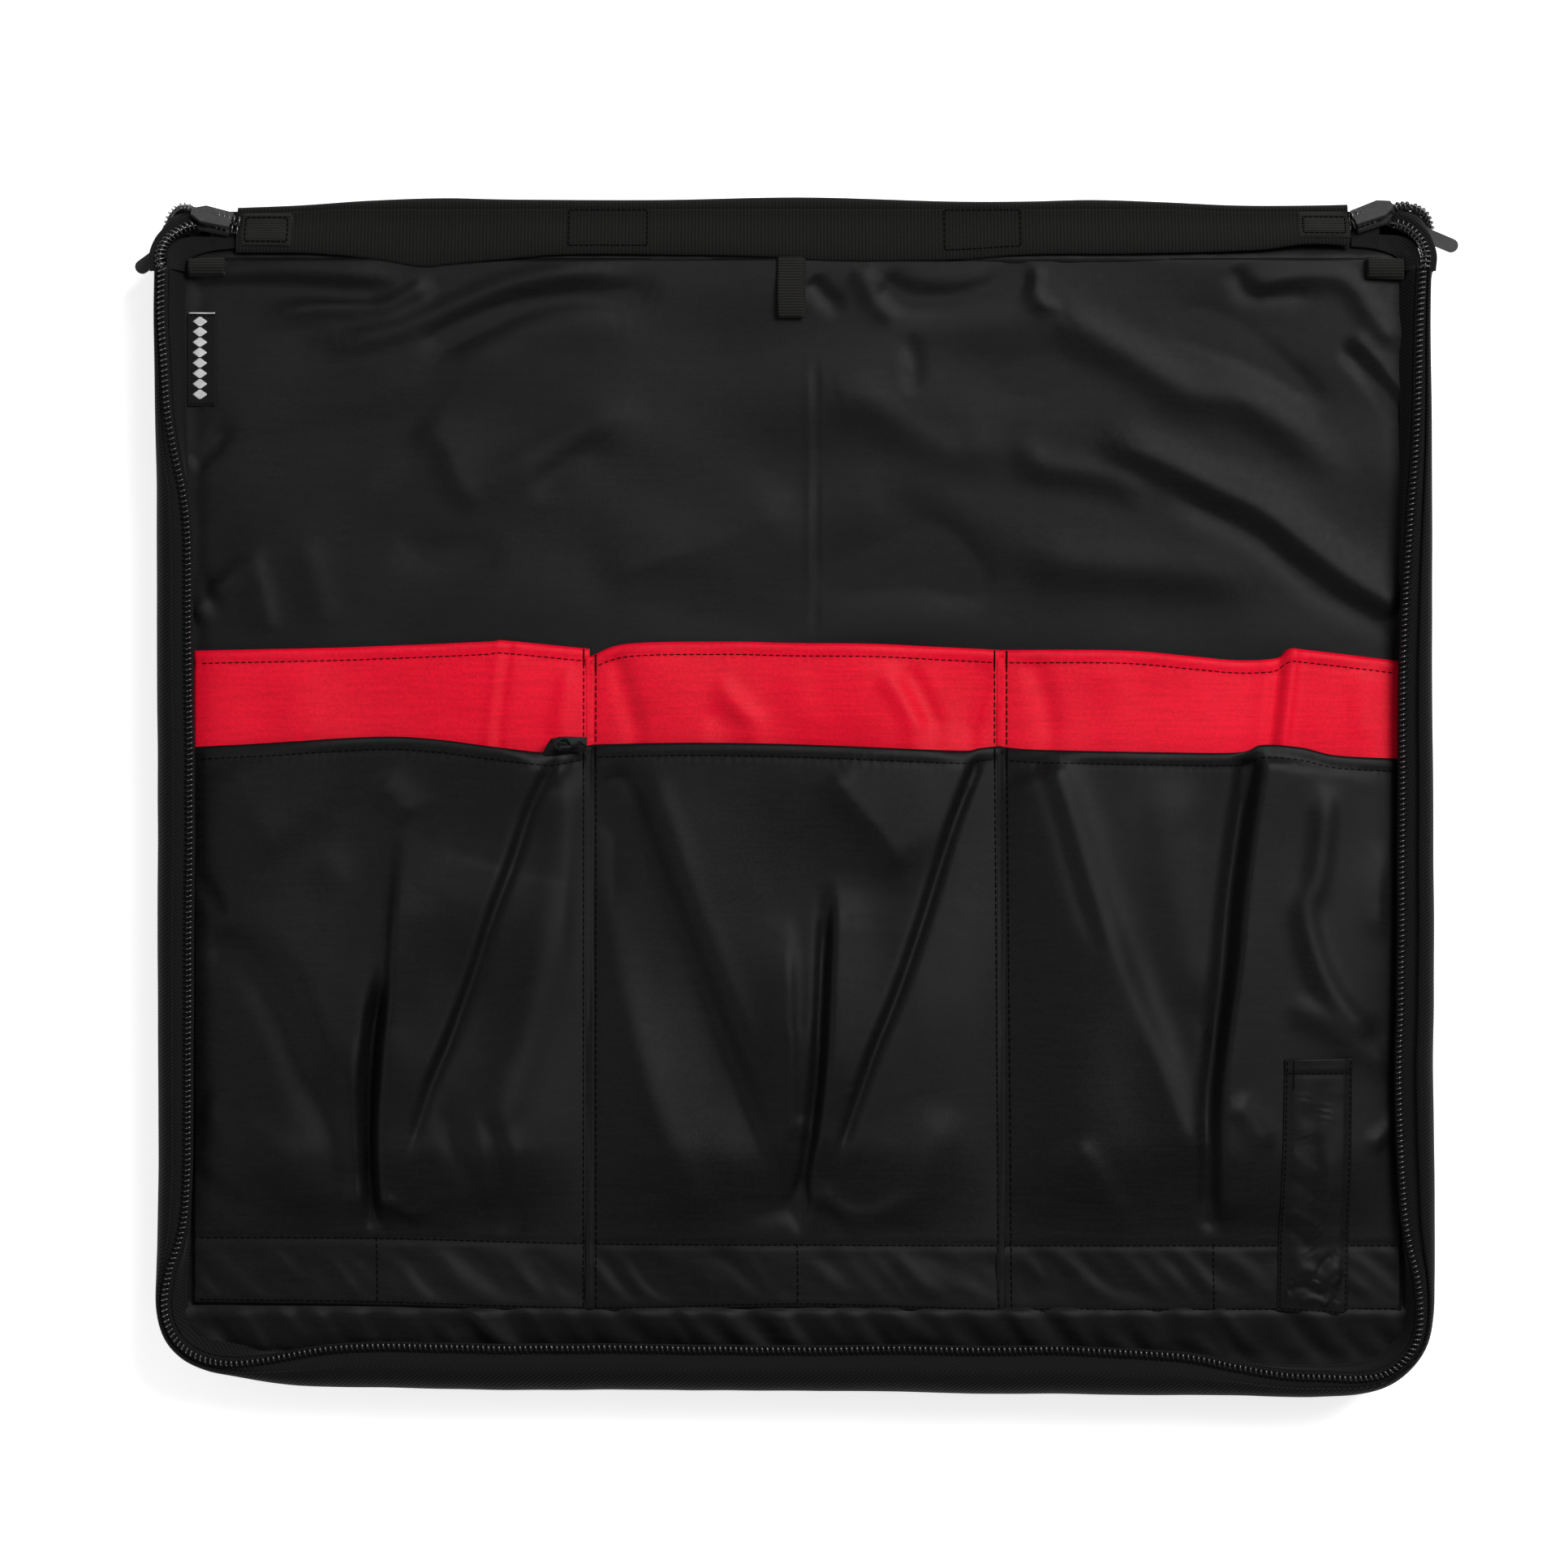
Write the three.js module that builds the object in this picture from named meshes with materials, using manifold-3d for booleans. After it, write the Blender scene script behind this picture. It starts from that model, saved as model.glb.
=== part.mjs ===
// A zip-around mallet bag, opened and folded back on itself, lying on a flat surface with the inside of
// its front leaf up. Millimetres, +Z up, +Y towards the spine, +X to the right.
// Two padded leaves are joined along the top by a webbing spine. Each leaf is a flat sandwich of shell, foam
// and lining with a low wall round three sides: a twill gusset, then zip tape, then zip coil at the rim.
import * as THREE from "three";
import { mergeVertices } from "three/addons/utils/BufferGeometryUtils.js";
import Module from "manifold-3d";

const wasm = await Module();
wasm.setup();

// ---- Driving dimensions ----
const HALF_WIDTH = 249.5; // centre of the bag to the outside of its side walls
const BOTTOM = -233.5; // outside of the bottom wall
const SEAM = 212.2; // where each leaf is sewn to the spine
const RIDGE = 231.8; // the fold down the middle of the spine
const WALL_TOP_END = 200; // the side walls stop here, short of the spine
const CORNER = 30; // outside radius of the two bottom corners
const TOP_CORNER = 14; // radius of a leaf's two top corners
const GAP = 0.3; // clearance between pieces that touch
const SHELL = 0.8; // thickness of each layer of a leaf
const FOAM = 3;
const LINING = 0.6;
const WALL = 13; // height of a leaf's wall above its lining
const PANEL_INSET = 2.6; // leaf layers stop this far inside the outside of the wall
const WEBBING = 1.2; // thickness of the spine webbing
const HANDLE = 1.6; // thickness of the carry handle
const DIVIDER = 81; // the double stitched dividers stand this far either side of the middle
const POCKET_SIDE = 236; // outer side seams of the pocket sheets

// ---- Levels inside one leaf, from the outside face of its shell ----
const FOAM_LEVEL = SHELL + GAP;
const LINING_LEVEL = FOAM_LEVEL + FOAM + GAP;
const LINING_TOP = LINING_LEVEL + LINING;
const RIM = LINING_TOP + WALL;
const MIDDLE = RIM + GAP; // height of the plane between the two leaves

// ---- Materials ----
const material = (color, roughness, metalness = 0) =>
  new THREE.MeshStandardMaterial({ color, roughness, metalness });
const shellNylon = material(0x141415, 0.75);
const foamWhite = material(0xc8c8c0, 0.9);
const liningNylon = material(0x1b1b1c, 0.45);
const redNylon = material(0xd8122c, 0.5);
const twill = material(0x101010, 0.85);
const coilNylon = material(0x232323, 0.35);
const webbing = material(0x131312, 0.85);
const labelWeave = material(0x17171a, 0.6);
const darkMetal = material(0x3a3b3c, 0.45, 0.4);

const bag = new THREE.Group();

function add(parent, name, geometry, surface) {
  const mesh = new THREE.Mesh(geometry, surface);
  mesh.name = name;
  parent.add(mesh);
  return mesh;
}

// ---- Solids and booleans ----
function solid(geometry) {
  const bare = geometry.index ? geometry.toNonIndexed() : geometry.clone();
  bare.deleteAttribute("normal");
  bare.deleteAttribute("uv");
  const merged = mergeVertices(bare, 1e-4);
  return new wasm.Manifold(
    new wasm.Mesh({
      numProp: 3,
      vertProperties: merged.attributes.position.array,
      triVerts: new Uint32Array(merged.index.array),
    }),
  );
}

function geometryOf(manifold) {
  const mesh = manifold.getMesh();
  return new THREE.BufferGeometry()
    .setAttribute("position", new THREE.BufferAttribute(mesh.vertProperties, 3))
    .setIndex(new THREE.BufferAttribute(mesh.triVerts, 1));
}

function join(...geometries) {
  return geometryOf(geometries.map(solid).reduce((whole, next) => whole.add(next)));
}

// A flat outline given thickness, its underside at the level given.
function slab(shape, thickness, level = 0, curveSegments = 8) {
  const geometry = new THREE.ExtrudeGeometry(shape, {
    depth: thickness,
    bevelEnabled: false,
    curveSegments,
  });
  return geometry.translate(0, 0, level);
}

function box(x0, x1, y0, y1, z0, z1) {
  const geometry = new THREE.BoxGeometry(x1 - x0, y1 - y0, z1 - z0);
  return geometry.translate((x0 + x1) / 2, (y0 + y1) / 2, (z0 + z1) / 2);
}

function polygon(points) {
  return new THREE.Shape(points.map(([x, y]) => new THREE.Vector2(x, y)));
}

// ---- One leaf: its origin is in the middle of its shell's outside face, its inside faces +Z ----
function leafOutline(inset) {
  const side = HALF_WIDTH - inset;
  const low = BOTTOM + inset;
  const high = SEAM - GAP;
  const r = CORNER - inset;
  const shape = new THREE.Shape();
  shape.moveTo(-side + r, low);
  shape.lineTo(side - r, low);
  shape.absarc(side - r, low + r, r, -Math.PI / 2, 0);
  shape.absarc(side - TOP_CORNER, high - TOP_CORNER, TOP_CORNER, 0, Math.PI / 2);
  shape.absarc(-side + TOP_CORNER, high - TOP_CORNER, TOP_CORNER, Math.PI / 2, Math.PI);
  shape.absarc(-side + r, low + r, r, Math.PI, 1.5 * Math.PI);
  return shape;
}

// The line of the wall's outside: down the left, round the bottom and up the right.
class WallLine extends THREE.CurvePath {
  constructor() {
    super();
    const side = HALF_WIDTH;
    const cornerHeight = BOTTOM + CORNER;
    const point = (x, y) => new THREE.Vector3(x, y, 0);
    const corner = (x, y, from) => {
      const arc = new THREE.Path().absarc(x, y, CORNER, from, from + Math.PI / 2);
      const points = arc.getPoints(6).map((p) => point(p.x, p.y));
      for (let i = 1; i < points.length; i++) this.add(new THREE.LineCurve3(points[i - 1], points[i]));
    };
    const run = (a, b, pieces) => {
      for (let i = 0; i < pieces; i++) {
        this.add(new THREE.LineCurve3(a.clone().lerp(b, i / pieces), a.clone().lerp(b, (i + 1) / pieces)));
      }
    };
    run(point(-side, WALL_TOP_END), point(-side, cornerHeight), 6);
    corner(-side + CORNER, cornerHeight, Math.PI);
    run(point(-side + CORNER, BOTTOM), point(side - CORNER, BOTTOM), 6);
    corner(side - CORNER, cornerHeight, 1.5 * Math.PI);
    run(point(side, cornerHeight), point(side, WALL_TOP_END), 6);
  }
  // One step for each straight piece, so that the sweep turns only in the corners.
  getPointAt(u) {
    return this.getPoint(u);
  }
  getPoint(u) {
    const at = u * this.curves.length;
    const i = Math.min(Math.floor(at + 1e-9), this.curves.length - 1);
    return this.curves[i].getPoint(Math.min(1, Math.max(0, at - i)));
  }
  getTangentAt(u) {
    const step = 1e-4;
    const ahead = this.getPoint(Math.min(1, u + step));
    return ahead.sub(this.getPoint(Math.max(0, u - step))).normalize();
  }
}

// A strip of cloth in the wall: its middle line is [distance inwards, height] points, from the outside in.
function wallStrip(middle, thickness) {
  const line = middle.map(([inwards, height]) => new THREE.Vector2(-height, inwards));
  const side = (amount) =>
    line.map((p, i) => {
      const along = line[Math.min(i + 1, line.length - 1)].clone().sub(line[Math.max(i - 1, 0)]).normalize();
      return p.clone().add(new THREE.Vector2(-along.y, along.x).multiplyScalar((amount * thickness) / 2));
    });
  const shape = new THREE.Shape([...side(1), ...side(-1).reverse()]);
  const path = new WallLine();
  return new THREE.ExtrudeGeometry(shape, {
    steps: path.curves.length,
    extrudePath: path,
  });
}

const GUSSET_LINE = [
  [1.6, 0.8], [0.6, 4], [0.6, RIM - 7], [2.2, RIM - 2.6], [4.6, RIM - 0.6], [5.4, RIM - 0.6], [7, RIM - 0.6],
];
const TAPE_LINE = [[5.2, RIM - 2.1], [7, RIM - 2.6], [9, RIM - 4.1], [13.6, RIM - 4.2]];
const COIL_LINE = [[9.6, RIM - 2.2], [14.4, RIM - 2.2]];

function leaf(side) {
  const group = new THREE.Group();
  add(group, `${side}_shell`, slab(leafOutline(PANEL_INSET), SHELL), shellNylon);
  add(group, `${side}_foam`, slab(leafOutline(PANEL_INSET), FOAM, FOAM_LEVEL), foamWhite);
  add(group, `${side}_lining`, slab(leafOutline(PANEL_INSET), LINING, LINING_LEVEL), liningNylon);
  add(group, `${side}_gusset`, wallStrip(GUSSET_LINE, 1.2), twill);
  add(group, `${side}_zip_tape`, wallStrip(TAPE_LINE, 0.6), twill);
  add(group, `${side}_zip_coil`, wallStrip(COIL_LINE, 2.8), coilNylon);
  return group;
}

// ---- Pockets: sheets sewn down at the sides, at the two dividers and along the bottom ----
const SEWN_X = [-POCKET_SIDE, -DIVIDER, DIVIDER, POCKET_SIDE];
const POCKET_BOTTOM = -201;
const PLEAT_STITCH = -177; // the second stitch line, where the pockets start to stand off the lining
const FULL_DEPTH = -152; // above this the pockets are at their full depth
const CLOTH = 0.7;
const COLUMNS = 12; // grid cells across each pocket

function smooth(t) {
  const c = THREE.MathUtils.clamp(t, 0, 1);
  return c * c * (3 - 2 * c);
}

// How far out of its full depth the cloth stands, from 0 at a seam to 1.
function fullness(x, y) {
  const i = x < SEWN_X[1] ? 0 : x < SEWN_X[2] ? 1 : 2;
  const across = (2 * (x - SEWN_X[i])) / (SEWN_X[i + 1] - SEWN_X[i]) - 1;
  const arch = 1 - Math.min(1, Math.abs(across)) ** 6;
  return arch * smooth((y - PLEAT_STITCH) / (FULL_DEPTH - PLEAT_STITCH));
}

const RED_DEPTH = 5.5;
const BLACK_DEPTH = 7;
const PEN_DEPTH = 4.6;
const redUnderside = (x, y) => LINING_TOP + GAP + RED_DEPTH * fullness(x, y);
const blackUnderside = (x, y) => redUnderside(x, y) + CLOTH + GAP + BLACK_DEPTH * fullness(x, y);

// A sheet of even thickness over a grid, with its underside at the height given.
function sheet(columns, rows, underside, thickness) {
  const wide = columns.length;
  const layer = wide * rows.length;
  const positions = [0, thickness].flatMap((lift) =>
    rows.flatMap((y) => columns.flatMap((x) => [x, y, underside(x, y) + lift])),
  );
  const index = [];
  const edge = (p, q) => index.push(p, q, q + layer, p, q + layer, p + layer);
  for (let row = 0; row < rows.length - 1; row++) {
    for (let column = 0; column < wide - 1; column++) {
      const a = row * wide + column;
      const d = a + wide;
      index.push(a, d, d + 1, a, d + 1, a + 1);
      index.push(a + layer, a + 1 + layer, d + 1 + layer, a + layer, d + 1 + layer, d + layer);
      if (row === 0) edge(a, a + 1);
      if (row === rows.length - 2) edge(d + 1, d);
      if (column === 0) edge(d, a);
      if (column === wide - 2) edge(a + 1, d + 1);
    }
  }
  return new THREE.BufferGeometry()
    .setAttribute("position", new THREE.Float32BufferAttribute(positions, 3))
    .setIndex(index);
}

function pocketColumns() {
  const columns = [];
  for (let pocket = 0; pocket < 3; pocket++) {
    for (let i = 0; i < COLUMNS; i++) {
      const share = (1 - Math.cos((Math.PI * i) / COLUMNS)) / 2;
      columns.push(THREE.MathUtils.lerp(SEWN_X[pocket], SEWN_X[pocket + 1], share));
    }
  }
  return [...columns, POCKET_SIDE];
}

const RED_TOP = 56;
const BLACK_TOP = 18.5;
const BLACK_ROWS = [POCKET_BOTTOM, PLEAT_STITCH, -170, -161, FULL_DEPTH, -67, BLACK_TOP];

function pockets(parent) {
  const columns = pocketColumns();
  add(parent, "red_rear_pockets", sheet(columns, [...BLACK_ROWS, RED_TOP], redUnderside, CLOTH), redNylon);
  add(parent, "black_front_pockets", sheet(columns, BLACK_ROWS, blackUnderside, CLOTH), liningNylon);
  penPocket(parent);
}

// A narrow pocket sewn onto the face of the right-hand front pocket.
const PEN_LEFT = 191.4;
const PEN_RIGHT = 218.4;
const PEN_BOTTOM = -200;
const PEN_TOP = -102;

function penPocket(parent) {
  const columns = [0, 0.08, 0.25, 0.5, 0.75, 0.92, 1].map((u) => THREE.MathUtils.lerp(PEN_LEFT, PEN_RIGHT, u));
  const rows = [PEN_BOTTOM, -186, PLEAT_STITCH, -170, -161, FULL_DEPTH, PEN_TOP];
  const underside = (x, y) => {
    const across = (2 * (x - PEN_LEFT)) / (PEN_RIGHT - PEN_LEFT) - 1;
    const depth = PEN_DEPTH * (1 - across ** 6) * smooth((y - PEN_BOTTOM) / 12);
    return blackUnderside(x, y) + CLOTH + 3 * GAP + depth;
  };
  add(parent, "pen_pocket", sheet(columns, rows, underside, CLOTH), liningNylon);
}

// ---- Ribbon loops: each is a flat ring of ribbon, closed at its sewn end ----
const RIBBON = 0.6;

function ribbonLoop(width, length, opening) {
  const thickness = opening + 2 * RIBBON;
  const ring = (inset) => {
    const r = thickness / 2 - inset;
    const path = new THREE.Path();
    path.moveTo(-inset, inset);
    path.lineTo(-inset, thickness - inset);
    path.lineTo(-length + thickness / 2, thickness - inset);
    path.absarc(-length + thickness / 2, thickness / 2, r, Math.PI / 2, 1.5 * Math.PI);
    return path;
  };
  const shape = new THREE.Shape(ring(0).getPoints(4));
  shape.holes.push(new THREE.Path(ring(RIBBON).getPoints(4)));
  const geometry = new THREE.ExtrudeGeometry(shape, { depth: width, bevelEnabled: false });
  // The outline's x becomes Y, its y becomes Z and its depth becomes X.
  return geometry.rotateX(Math.PI / 2).rotateZ(Math.PI / 2).translate(-width / 2, 0, 0);
}

const LOOP_OPENING = 4.2;
const CENTRE_LOOP = { x: -2, y: SEAM - 0.9, width: 11, length: 24 };
const SIDE_LOOP = { x: 231.5, y: SEAM - 2.7, width: 14, length: 7.5 };

function loop(parent, name, x, { y, width, length }) {
  const mesh = add(parent, name, ribbonLoop(width, length, LOOP_OPENING), webbing);
  mesh.position.set(x, y, LINING_TOP + GAP);
}

function label(parent) {
  const mesh = add(parent, "woven_label", new THREE.BoxGeometry(12, 37, LINING), labelWeave);
  mesh.position.set(-233.5, 172, LINING_TOP + GAP + LINING / 2);
}

// ---- Spine: one length of webbing, its two halves lying one above the other at the fold ----
const SPINE_HALF = 218;
const STRIP_LOW = SEAM + 0.6;
const STRIP_HIGH = RIDGE - 0.3;
const STRIP_LEVEL = HANDLE / 2 + GAP; // from the middle plane to the near face of each half
const HANDLE_END = 90;
const HANDLE_LOW = SEAM + 2;
const HANDLE_HIGH = RIDGE - 2;

function spine(parent) {
  const far = STRIP_LEVEL + WEBBING;
  add(parent, "spine_front", box(-SPINE_HALF, SPINE_HALF, STRIP_LOW, STRIP_HIGH, STRIP_LEVEL, far), webbing);
  add(parent, "spine_rear", box(-SPINE_HALF, SPINE_HALF, STRIP_LOW, STRIP_HIGH, -far, -STRIP_LEVEL), webbing);
  const strap = box(-HANDLE_END, HANDLE_END, HANDLE_LOW, HANDLE_HIGH, -HANDLE / 2, HANDLE / 2);
  add(parent, "carry_handle", strap, webbing);
}

// ---- Zip ends: slider, pull, closed chain and the tab that covers the chain's end ----
const ZIP_LEVEL = 4.6; // middle of the slider's channel above the middle plane
const ZIP_TILT = THREE.MathUtils.degToRad(38); // the chain's spine side hangs lower
const PLATE = 1.2;
const CHANNEL = 3;
const CROWN = { forward: 3, post: 1.3, keeper: 3 };
const PULL = { length: 34, half: 2.7, eye: 4.2, thickness: 1.5, level: -5.2 };
const CHAIN = { half: 3.05, thickness: 2.4, front: -2 };
const ZIP_ENDS = [
  { side: "left", x: -230.2, y: 227.1, turn: 167, pull: 216, chainEnd: -10.9, tab: [-218.5, 20, 216, 230] },
  { side: "right", x: 227.6, y: 229, turn: 20, pull: -23, chainEnd: -7.6, tab: [218, 20, 219.5, 230.3] },
];

// Local frame: +X towards the open tapes, origin in the middle of the channel.
function sliderBody() {
  const half = CHANNEL / 2;
  const outline = polygon([[8, -1.6], [8, 1.6], [3.4, 4.5], [-8, 4], [-8, -4], [3.4, -4.5]]);
  const flange = (y, z) => box(-7.8, 1, y - 0.35, y + 0.35, z - 0.45, z + 0.45);
  const divider = slab(polygon([[7.6, -1.3], [7.6, 1.3], [2.5, 0]]), CHANNEL + 0.4, -half - 0.2);
  return join(
    slab(outline, PLATE, -half - PLATE),
    slab(outline, PLATE, half),
    divider,
    ...[-3.7, 3.7].flatMap((y) => [flange(y, -half + 0.25), flange(y, half - 0.25)]),
  );
}

function slider(tilt) {
  const foot = PULL.level - PULL.thickness - 2 * GAP;
  const post = new THREE.CylinderGeometry(CROWN.post, CROWN.post, -2 - foot, 16);
  const keeper = new THREE.CylinderGeometry(CROWN.keeper, CROWN.keeper, 0.8, 20);
  return join(
    sliderBody().rotateX(tilt),
    post.rotateX(Math.PI / 2).translate(CROWN.forward, 0, (foot - 2) / 2),
    keeper.rotateX(Math.PI / 2).translate(CROWN.forward, 0, foot - 0.3),
  );
}

// A bar with a round end and an eye that turns on the slider's post, pointing along +X.
function pullGeometry() {
  const { length, half, eye, thickness } = PULL;
  const from = Math.asin(half / eye);
  const shape = new THREE.Shape().absarc(0, 0, eye, from, 2 * Math.PI - from);
  shape.absarc(length - half, 0, half, -Math.PI / 2, Math.PI / 2);
  shape.holes.push(new THREE.Path().absarc(0, 0, CROWN.post + 0.4, 0, 2 * Math.PI, true));
  return slab(shape, thickness, PULL.level - thickness, 10);
}

// The tab slopes from the chain's height down to the webbing. Its high end is at the origin.
function tabGeometry(length, width) {
  const outline = polygon([[0, 0], [length, 0], [length, 1.4], [0, 4]]);
  const geometry = new THREE.ExtrudeGeometry(outline, { depth: width, bevelEnabled: false });
  return geometry.rotateX(Math.PI / 2).translate(0, width / 2, 0);
}

function zipEnd(parent, { side, x, y, turn, pull, chainEnd, tab }) {
  const radians = THREE.MathUtils.degToRad;
  const tilt = -Math.sign(x) * ZIP_TILT;
  const end = new THREE.Group();
  end.position.set(x, y, ZIP_LEVEL);
  end.rotation.z = radians(turn);
  parent.add(end);
  add(end, `${side}_slider`, slider(tilt), darkMetal);
  const pullMesh = add(end, `${side}_pull`, pullGeometry(), darkMetal);
  pullMesh.position.x = CROWN.forward;
  pullMesh.rotation.z = radians(pull - turn);
  const { half, thickness, front } = CHAIN;
  const chain = box(chainEnd, front, -half, half, -thickness / 2, thickness / 2);
  add(end, `${side}_chain_end`, chain.rotateX(tilt), coilNylon);
  const [edge, length, low, high] = tab;
  const tabMesh = add(parent, `${side}_zip_end_tab`, tabGeometry(length, high - low), webbing);
  tabMesh.position.set(edge, (low + high) / 2, STRIP_LEVEL + WEBBING + GAP);
  tabMesh.rotation.z = x > 0 ? Math.PI : 0;
}

// ---- Assembly ----
const frontLeaf = leaf("front");
frontLeaf.position.z = MIDDLE + GAP;
pockets(frontLeaf);
loop(frontLeaf, "centre_hang_loop", CENTRE_LOOP.x, CENTRE_LOOP);
loop(frontLeaf, "left_hang_loop", -SIDE_LOOP.x, SIDE_LOOP);
loop(frontLeaf, "right_hang_loop", SIDE_LOOP.x, SIDE_LOOP);
label(frontLeaf);
bag.add(frontLeaf);

const backLeaf = leaf("back");
backLeaf.position.z = MIDDLE - GAP;
backLeaf.rotation.y = Math.PI;
bag.add(backLeaf);

const spineGroup = new THREE.Group();
spineGroup.position.z = MIDDLE;
spine(spineGroup);
ZIP_ENDS.forEach((end) => zipEnd(spineGroup, end));
bag.add(spineGroup);

// The origin is the middle of the whole bag, on the surface it lies on.
const bounds = new THREE.Box3().setFromObject(bag, true);
const centre = bounds.getCenter(new THREE.Vector3());
bag.position.set(-centre.x, -centre.y, -bounds.min.z);

export default bag;
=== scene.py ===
"""A zip-around mallet bag, open and folded back on its spine: the looks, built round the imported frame.

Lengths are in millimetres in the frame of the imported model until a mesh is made, which is in metres.
+X runs along the spine, +Y towards it, and +Z up, away from the surface the bag lies on.
"""

import math

import bpy
import numpy as np
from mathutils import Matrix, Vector


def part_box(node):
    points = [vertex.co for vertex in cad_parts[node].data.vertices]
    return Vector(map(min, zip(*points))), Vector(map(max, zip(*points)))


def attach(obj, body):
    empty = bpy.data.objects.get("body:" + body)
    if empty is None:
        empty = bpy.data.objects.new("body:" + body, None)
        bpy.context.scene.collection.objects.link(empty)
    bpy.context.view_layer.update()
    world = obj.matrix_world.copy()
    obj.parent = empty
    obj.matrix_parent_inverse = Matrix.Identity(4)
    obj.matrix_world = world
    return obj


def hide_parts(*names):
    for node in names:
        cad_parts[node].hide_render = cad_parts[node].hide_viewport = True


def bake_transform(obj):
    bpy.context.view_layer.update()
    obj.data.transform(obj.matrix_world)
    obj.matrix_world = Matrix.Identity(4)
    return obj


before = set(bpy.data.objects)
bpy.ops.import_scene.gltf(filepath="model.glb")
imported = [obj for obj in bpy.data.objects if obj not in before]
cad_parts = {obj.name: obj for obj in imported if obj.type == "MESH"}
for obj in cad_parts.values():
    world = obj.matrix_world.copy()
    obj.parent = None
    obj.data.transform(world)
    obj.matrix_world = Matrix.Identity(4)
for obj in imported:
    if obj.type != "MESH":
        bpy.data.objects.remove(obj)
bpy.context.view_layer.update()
scene = bpy.context.scene


def mm(v):
    return v / 1000


# ---- levels taken from the frame

SHELL_LOW, SHELL_HIGH = (c * 1000 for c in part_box("front_shell"))
LINING_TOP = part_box("front_lining")[1].z * 1000
BASE = SHELL_LOW.z
MIDDLE = (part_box("back_shell")[1].z * 1000 + BASE) / 2
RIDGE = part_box("spine_front")[1].y * 1000 + 0.3
LEAF_LEFT, LEAF_RIGHT = SHELL_LOW.x, SHELL_HIGH.x
LEAF_FOOT, LEAF_HEAD = SHELL_LOW.y, SHELL_HIGH.y


# ---- materials

class Nodes:
    """A material's node tree, built by short calls."""

    def __init__(self, name):
        self.material = bpy.data.materials.new(name)
        self.material.use_nodes = True
        self.tree = self.material.node_tree
        self.shader = self.tree.nodes["Principled BSDF"]
        self.place = self.node("ShaderNodeTexCoord").outputs["Object"]

    def node(self, kind, **settings):
        made = self.tree.nodes.new(kind)
        for key, value in settings.items():
            setattr(made, key, value)
        return made

    def put(self, value, socket):
        if isinstance(value, bpy.types.NodeSocket):
            self.tree.links.new(value, socket)
        else:
            socket.default_value = value

    def math(self, operation, *values, clamp=False):
        made = self.node("ShaderNodeMath", operation=operation, use_clamp=clamp)
        for value, socket in zip(values, made.inputs):
            self.put(value, socket)
        return made.outputs[0]

    def noise(self, scale, detail=3.0, vector=None):
        made = self.node("ShaderNodeTexNoise")
        self.put(vector or self.place, made.inputs["Vector"])
        made.inputs["Scale"].default_value = scale
        made.inputs["Detail"].default_value = detail
        return made.outputs["Fac"]

    def stretched(self, scale, rotation=(0, 0, 0)):
        made = self.node("ShaderNodeMapping")
        self.put(self.place, made.inputs["Vector"])
        made.inputs["Rotation"].default_value = rotation
        made.inputs["Scale"].default_value = scale
        return made.outputs[0]

    def axis(self, name, vector=None):
        made = self.node("ShaderNodeSeparateXYZ")
        self.put(vector or self.place, made.inputs[0])
        return made.outputs[name]

    def wave(self, value, pitch):
        """A sine of the given pitch in millimetres along a coordinate in metres, from 0 to 1."""
        turned = self.math("MULTIPLY", value, 2 * math.pi / mm(pitch))
        return self.math("MULTIPLY_ADD", self.math("SINE", turned), 0.5, 0.5)

    def total(self, *parts):
        """The weighted sum of pairs of a value and its weight."""
        (value, weight), *rest = parts
        if rest:
            return self.math("MULTIPLY_ADD", value, weight, self.total(*rest))
        return self.math("MULTIPLY", value, weight)

    def ramp(self, value, low, high, at=(0.3, 0.7)):
        made = self.node("ShaderNodeValToRGB")
        self.put(value, made.inputs[0])
        for stop, place, color in zip(made.color_ramp.elements, at, (low, high)):
            stop.position, stop.color = place, (*color, 1)
        return made.outputs[0]

    def mix(self, share, low, high):
        made = self.node("ShaderNodeMix", data_type="RGBA")
        for value, socket in zip((share, low, high), (made.inputs[0], made.inputs[6], made.inputs[7])):
            self.put(value, socket)
        return made.outputs[2]

    def bump(self, height, distance, strength=1.0, after=None):
        made = self.node("ShaderNodeBump")
        made.inputs["Strength"].default_value = strength
        made.inputs["Distance"].default_value = mm(distance)
        self.put(height, made.inputs["Height"])
        if after is not None:
            self.put(after, made.inputs["Normal"])
        return made.outputs[0]

    def roughness(self, scale, detail, spread, lowest):
        self.set(Roughness=self.math("MULTIPLY_ADD", self.noise(scale, detail), spread, lowest))

    def set(self, **values):
        for key, value in values.items():
            self.put(value, self.shader.inputs[key.replace("_", " ")])


def plain_weave(nodes, pitch):
    """Threads over and under each other: height from 0 to 1."""
    place = nodes.stretched((1, 1, 1))
    across, along = (nodes.wave(nodes.axis(name, place), pitch) for name in "XY")
    return nodes.math("ABSOLUTE", nodes.math("SUBTRACT", across, along))


def taffeta(name, dark, light, roughness, sheen):
    """Thin, tightly woven lining nylon with a satin sheen."""
    n = Nodes(name)
    cloud = n.noise(9, 4)
    slub = n.noise(60, 2, n.stretched((1, 14, 1)))
    fine = n.noise(900, 2)
    weave = plain_weave(n, 0.62)
    color = n.ramp(n.total((cloud, 0.3), (slub, 0.3), (fine, 0.4)), dark, light, (0.4, 0.61))
    color = n.mix(n.math("MULTIPLY", weave, 0.3), color, (*(1.3 * c for c in light), 1))
    n.set(Base_Color=color, Sheen_Weight=sheen, Sheen_Roughness=0.35, Sheen_Tint=(*light, 1))
    n.roughness(400, 2, 0.18, roughness - 0.09)
    n.set(Specular_IOR_Level=0.13, Anisotropic=0.4)
    crease = n.bump(n.noise(26, 3), 0.9, 0.1)
    n.set(Normal=n.bump(weave, 0.07, 0.55, crease))
    return n.material


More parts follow.
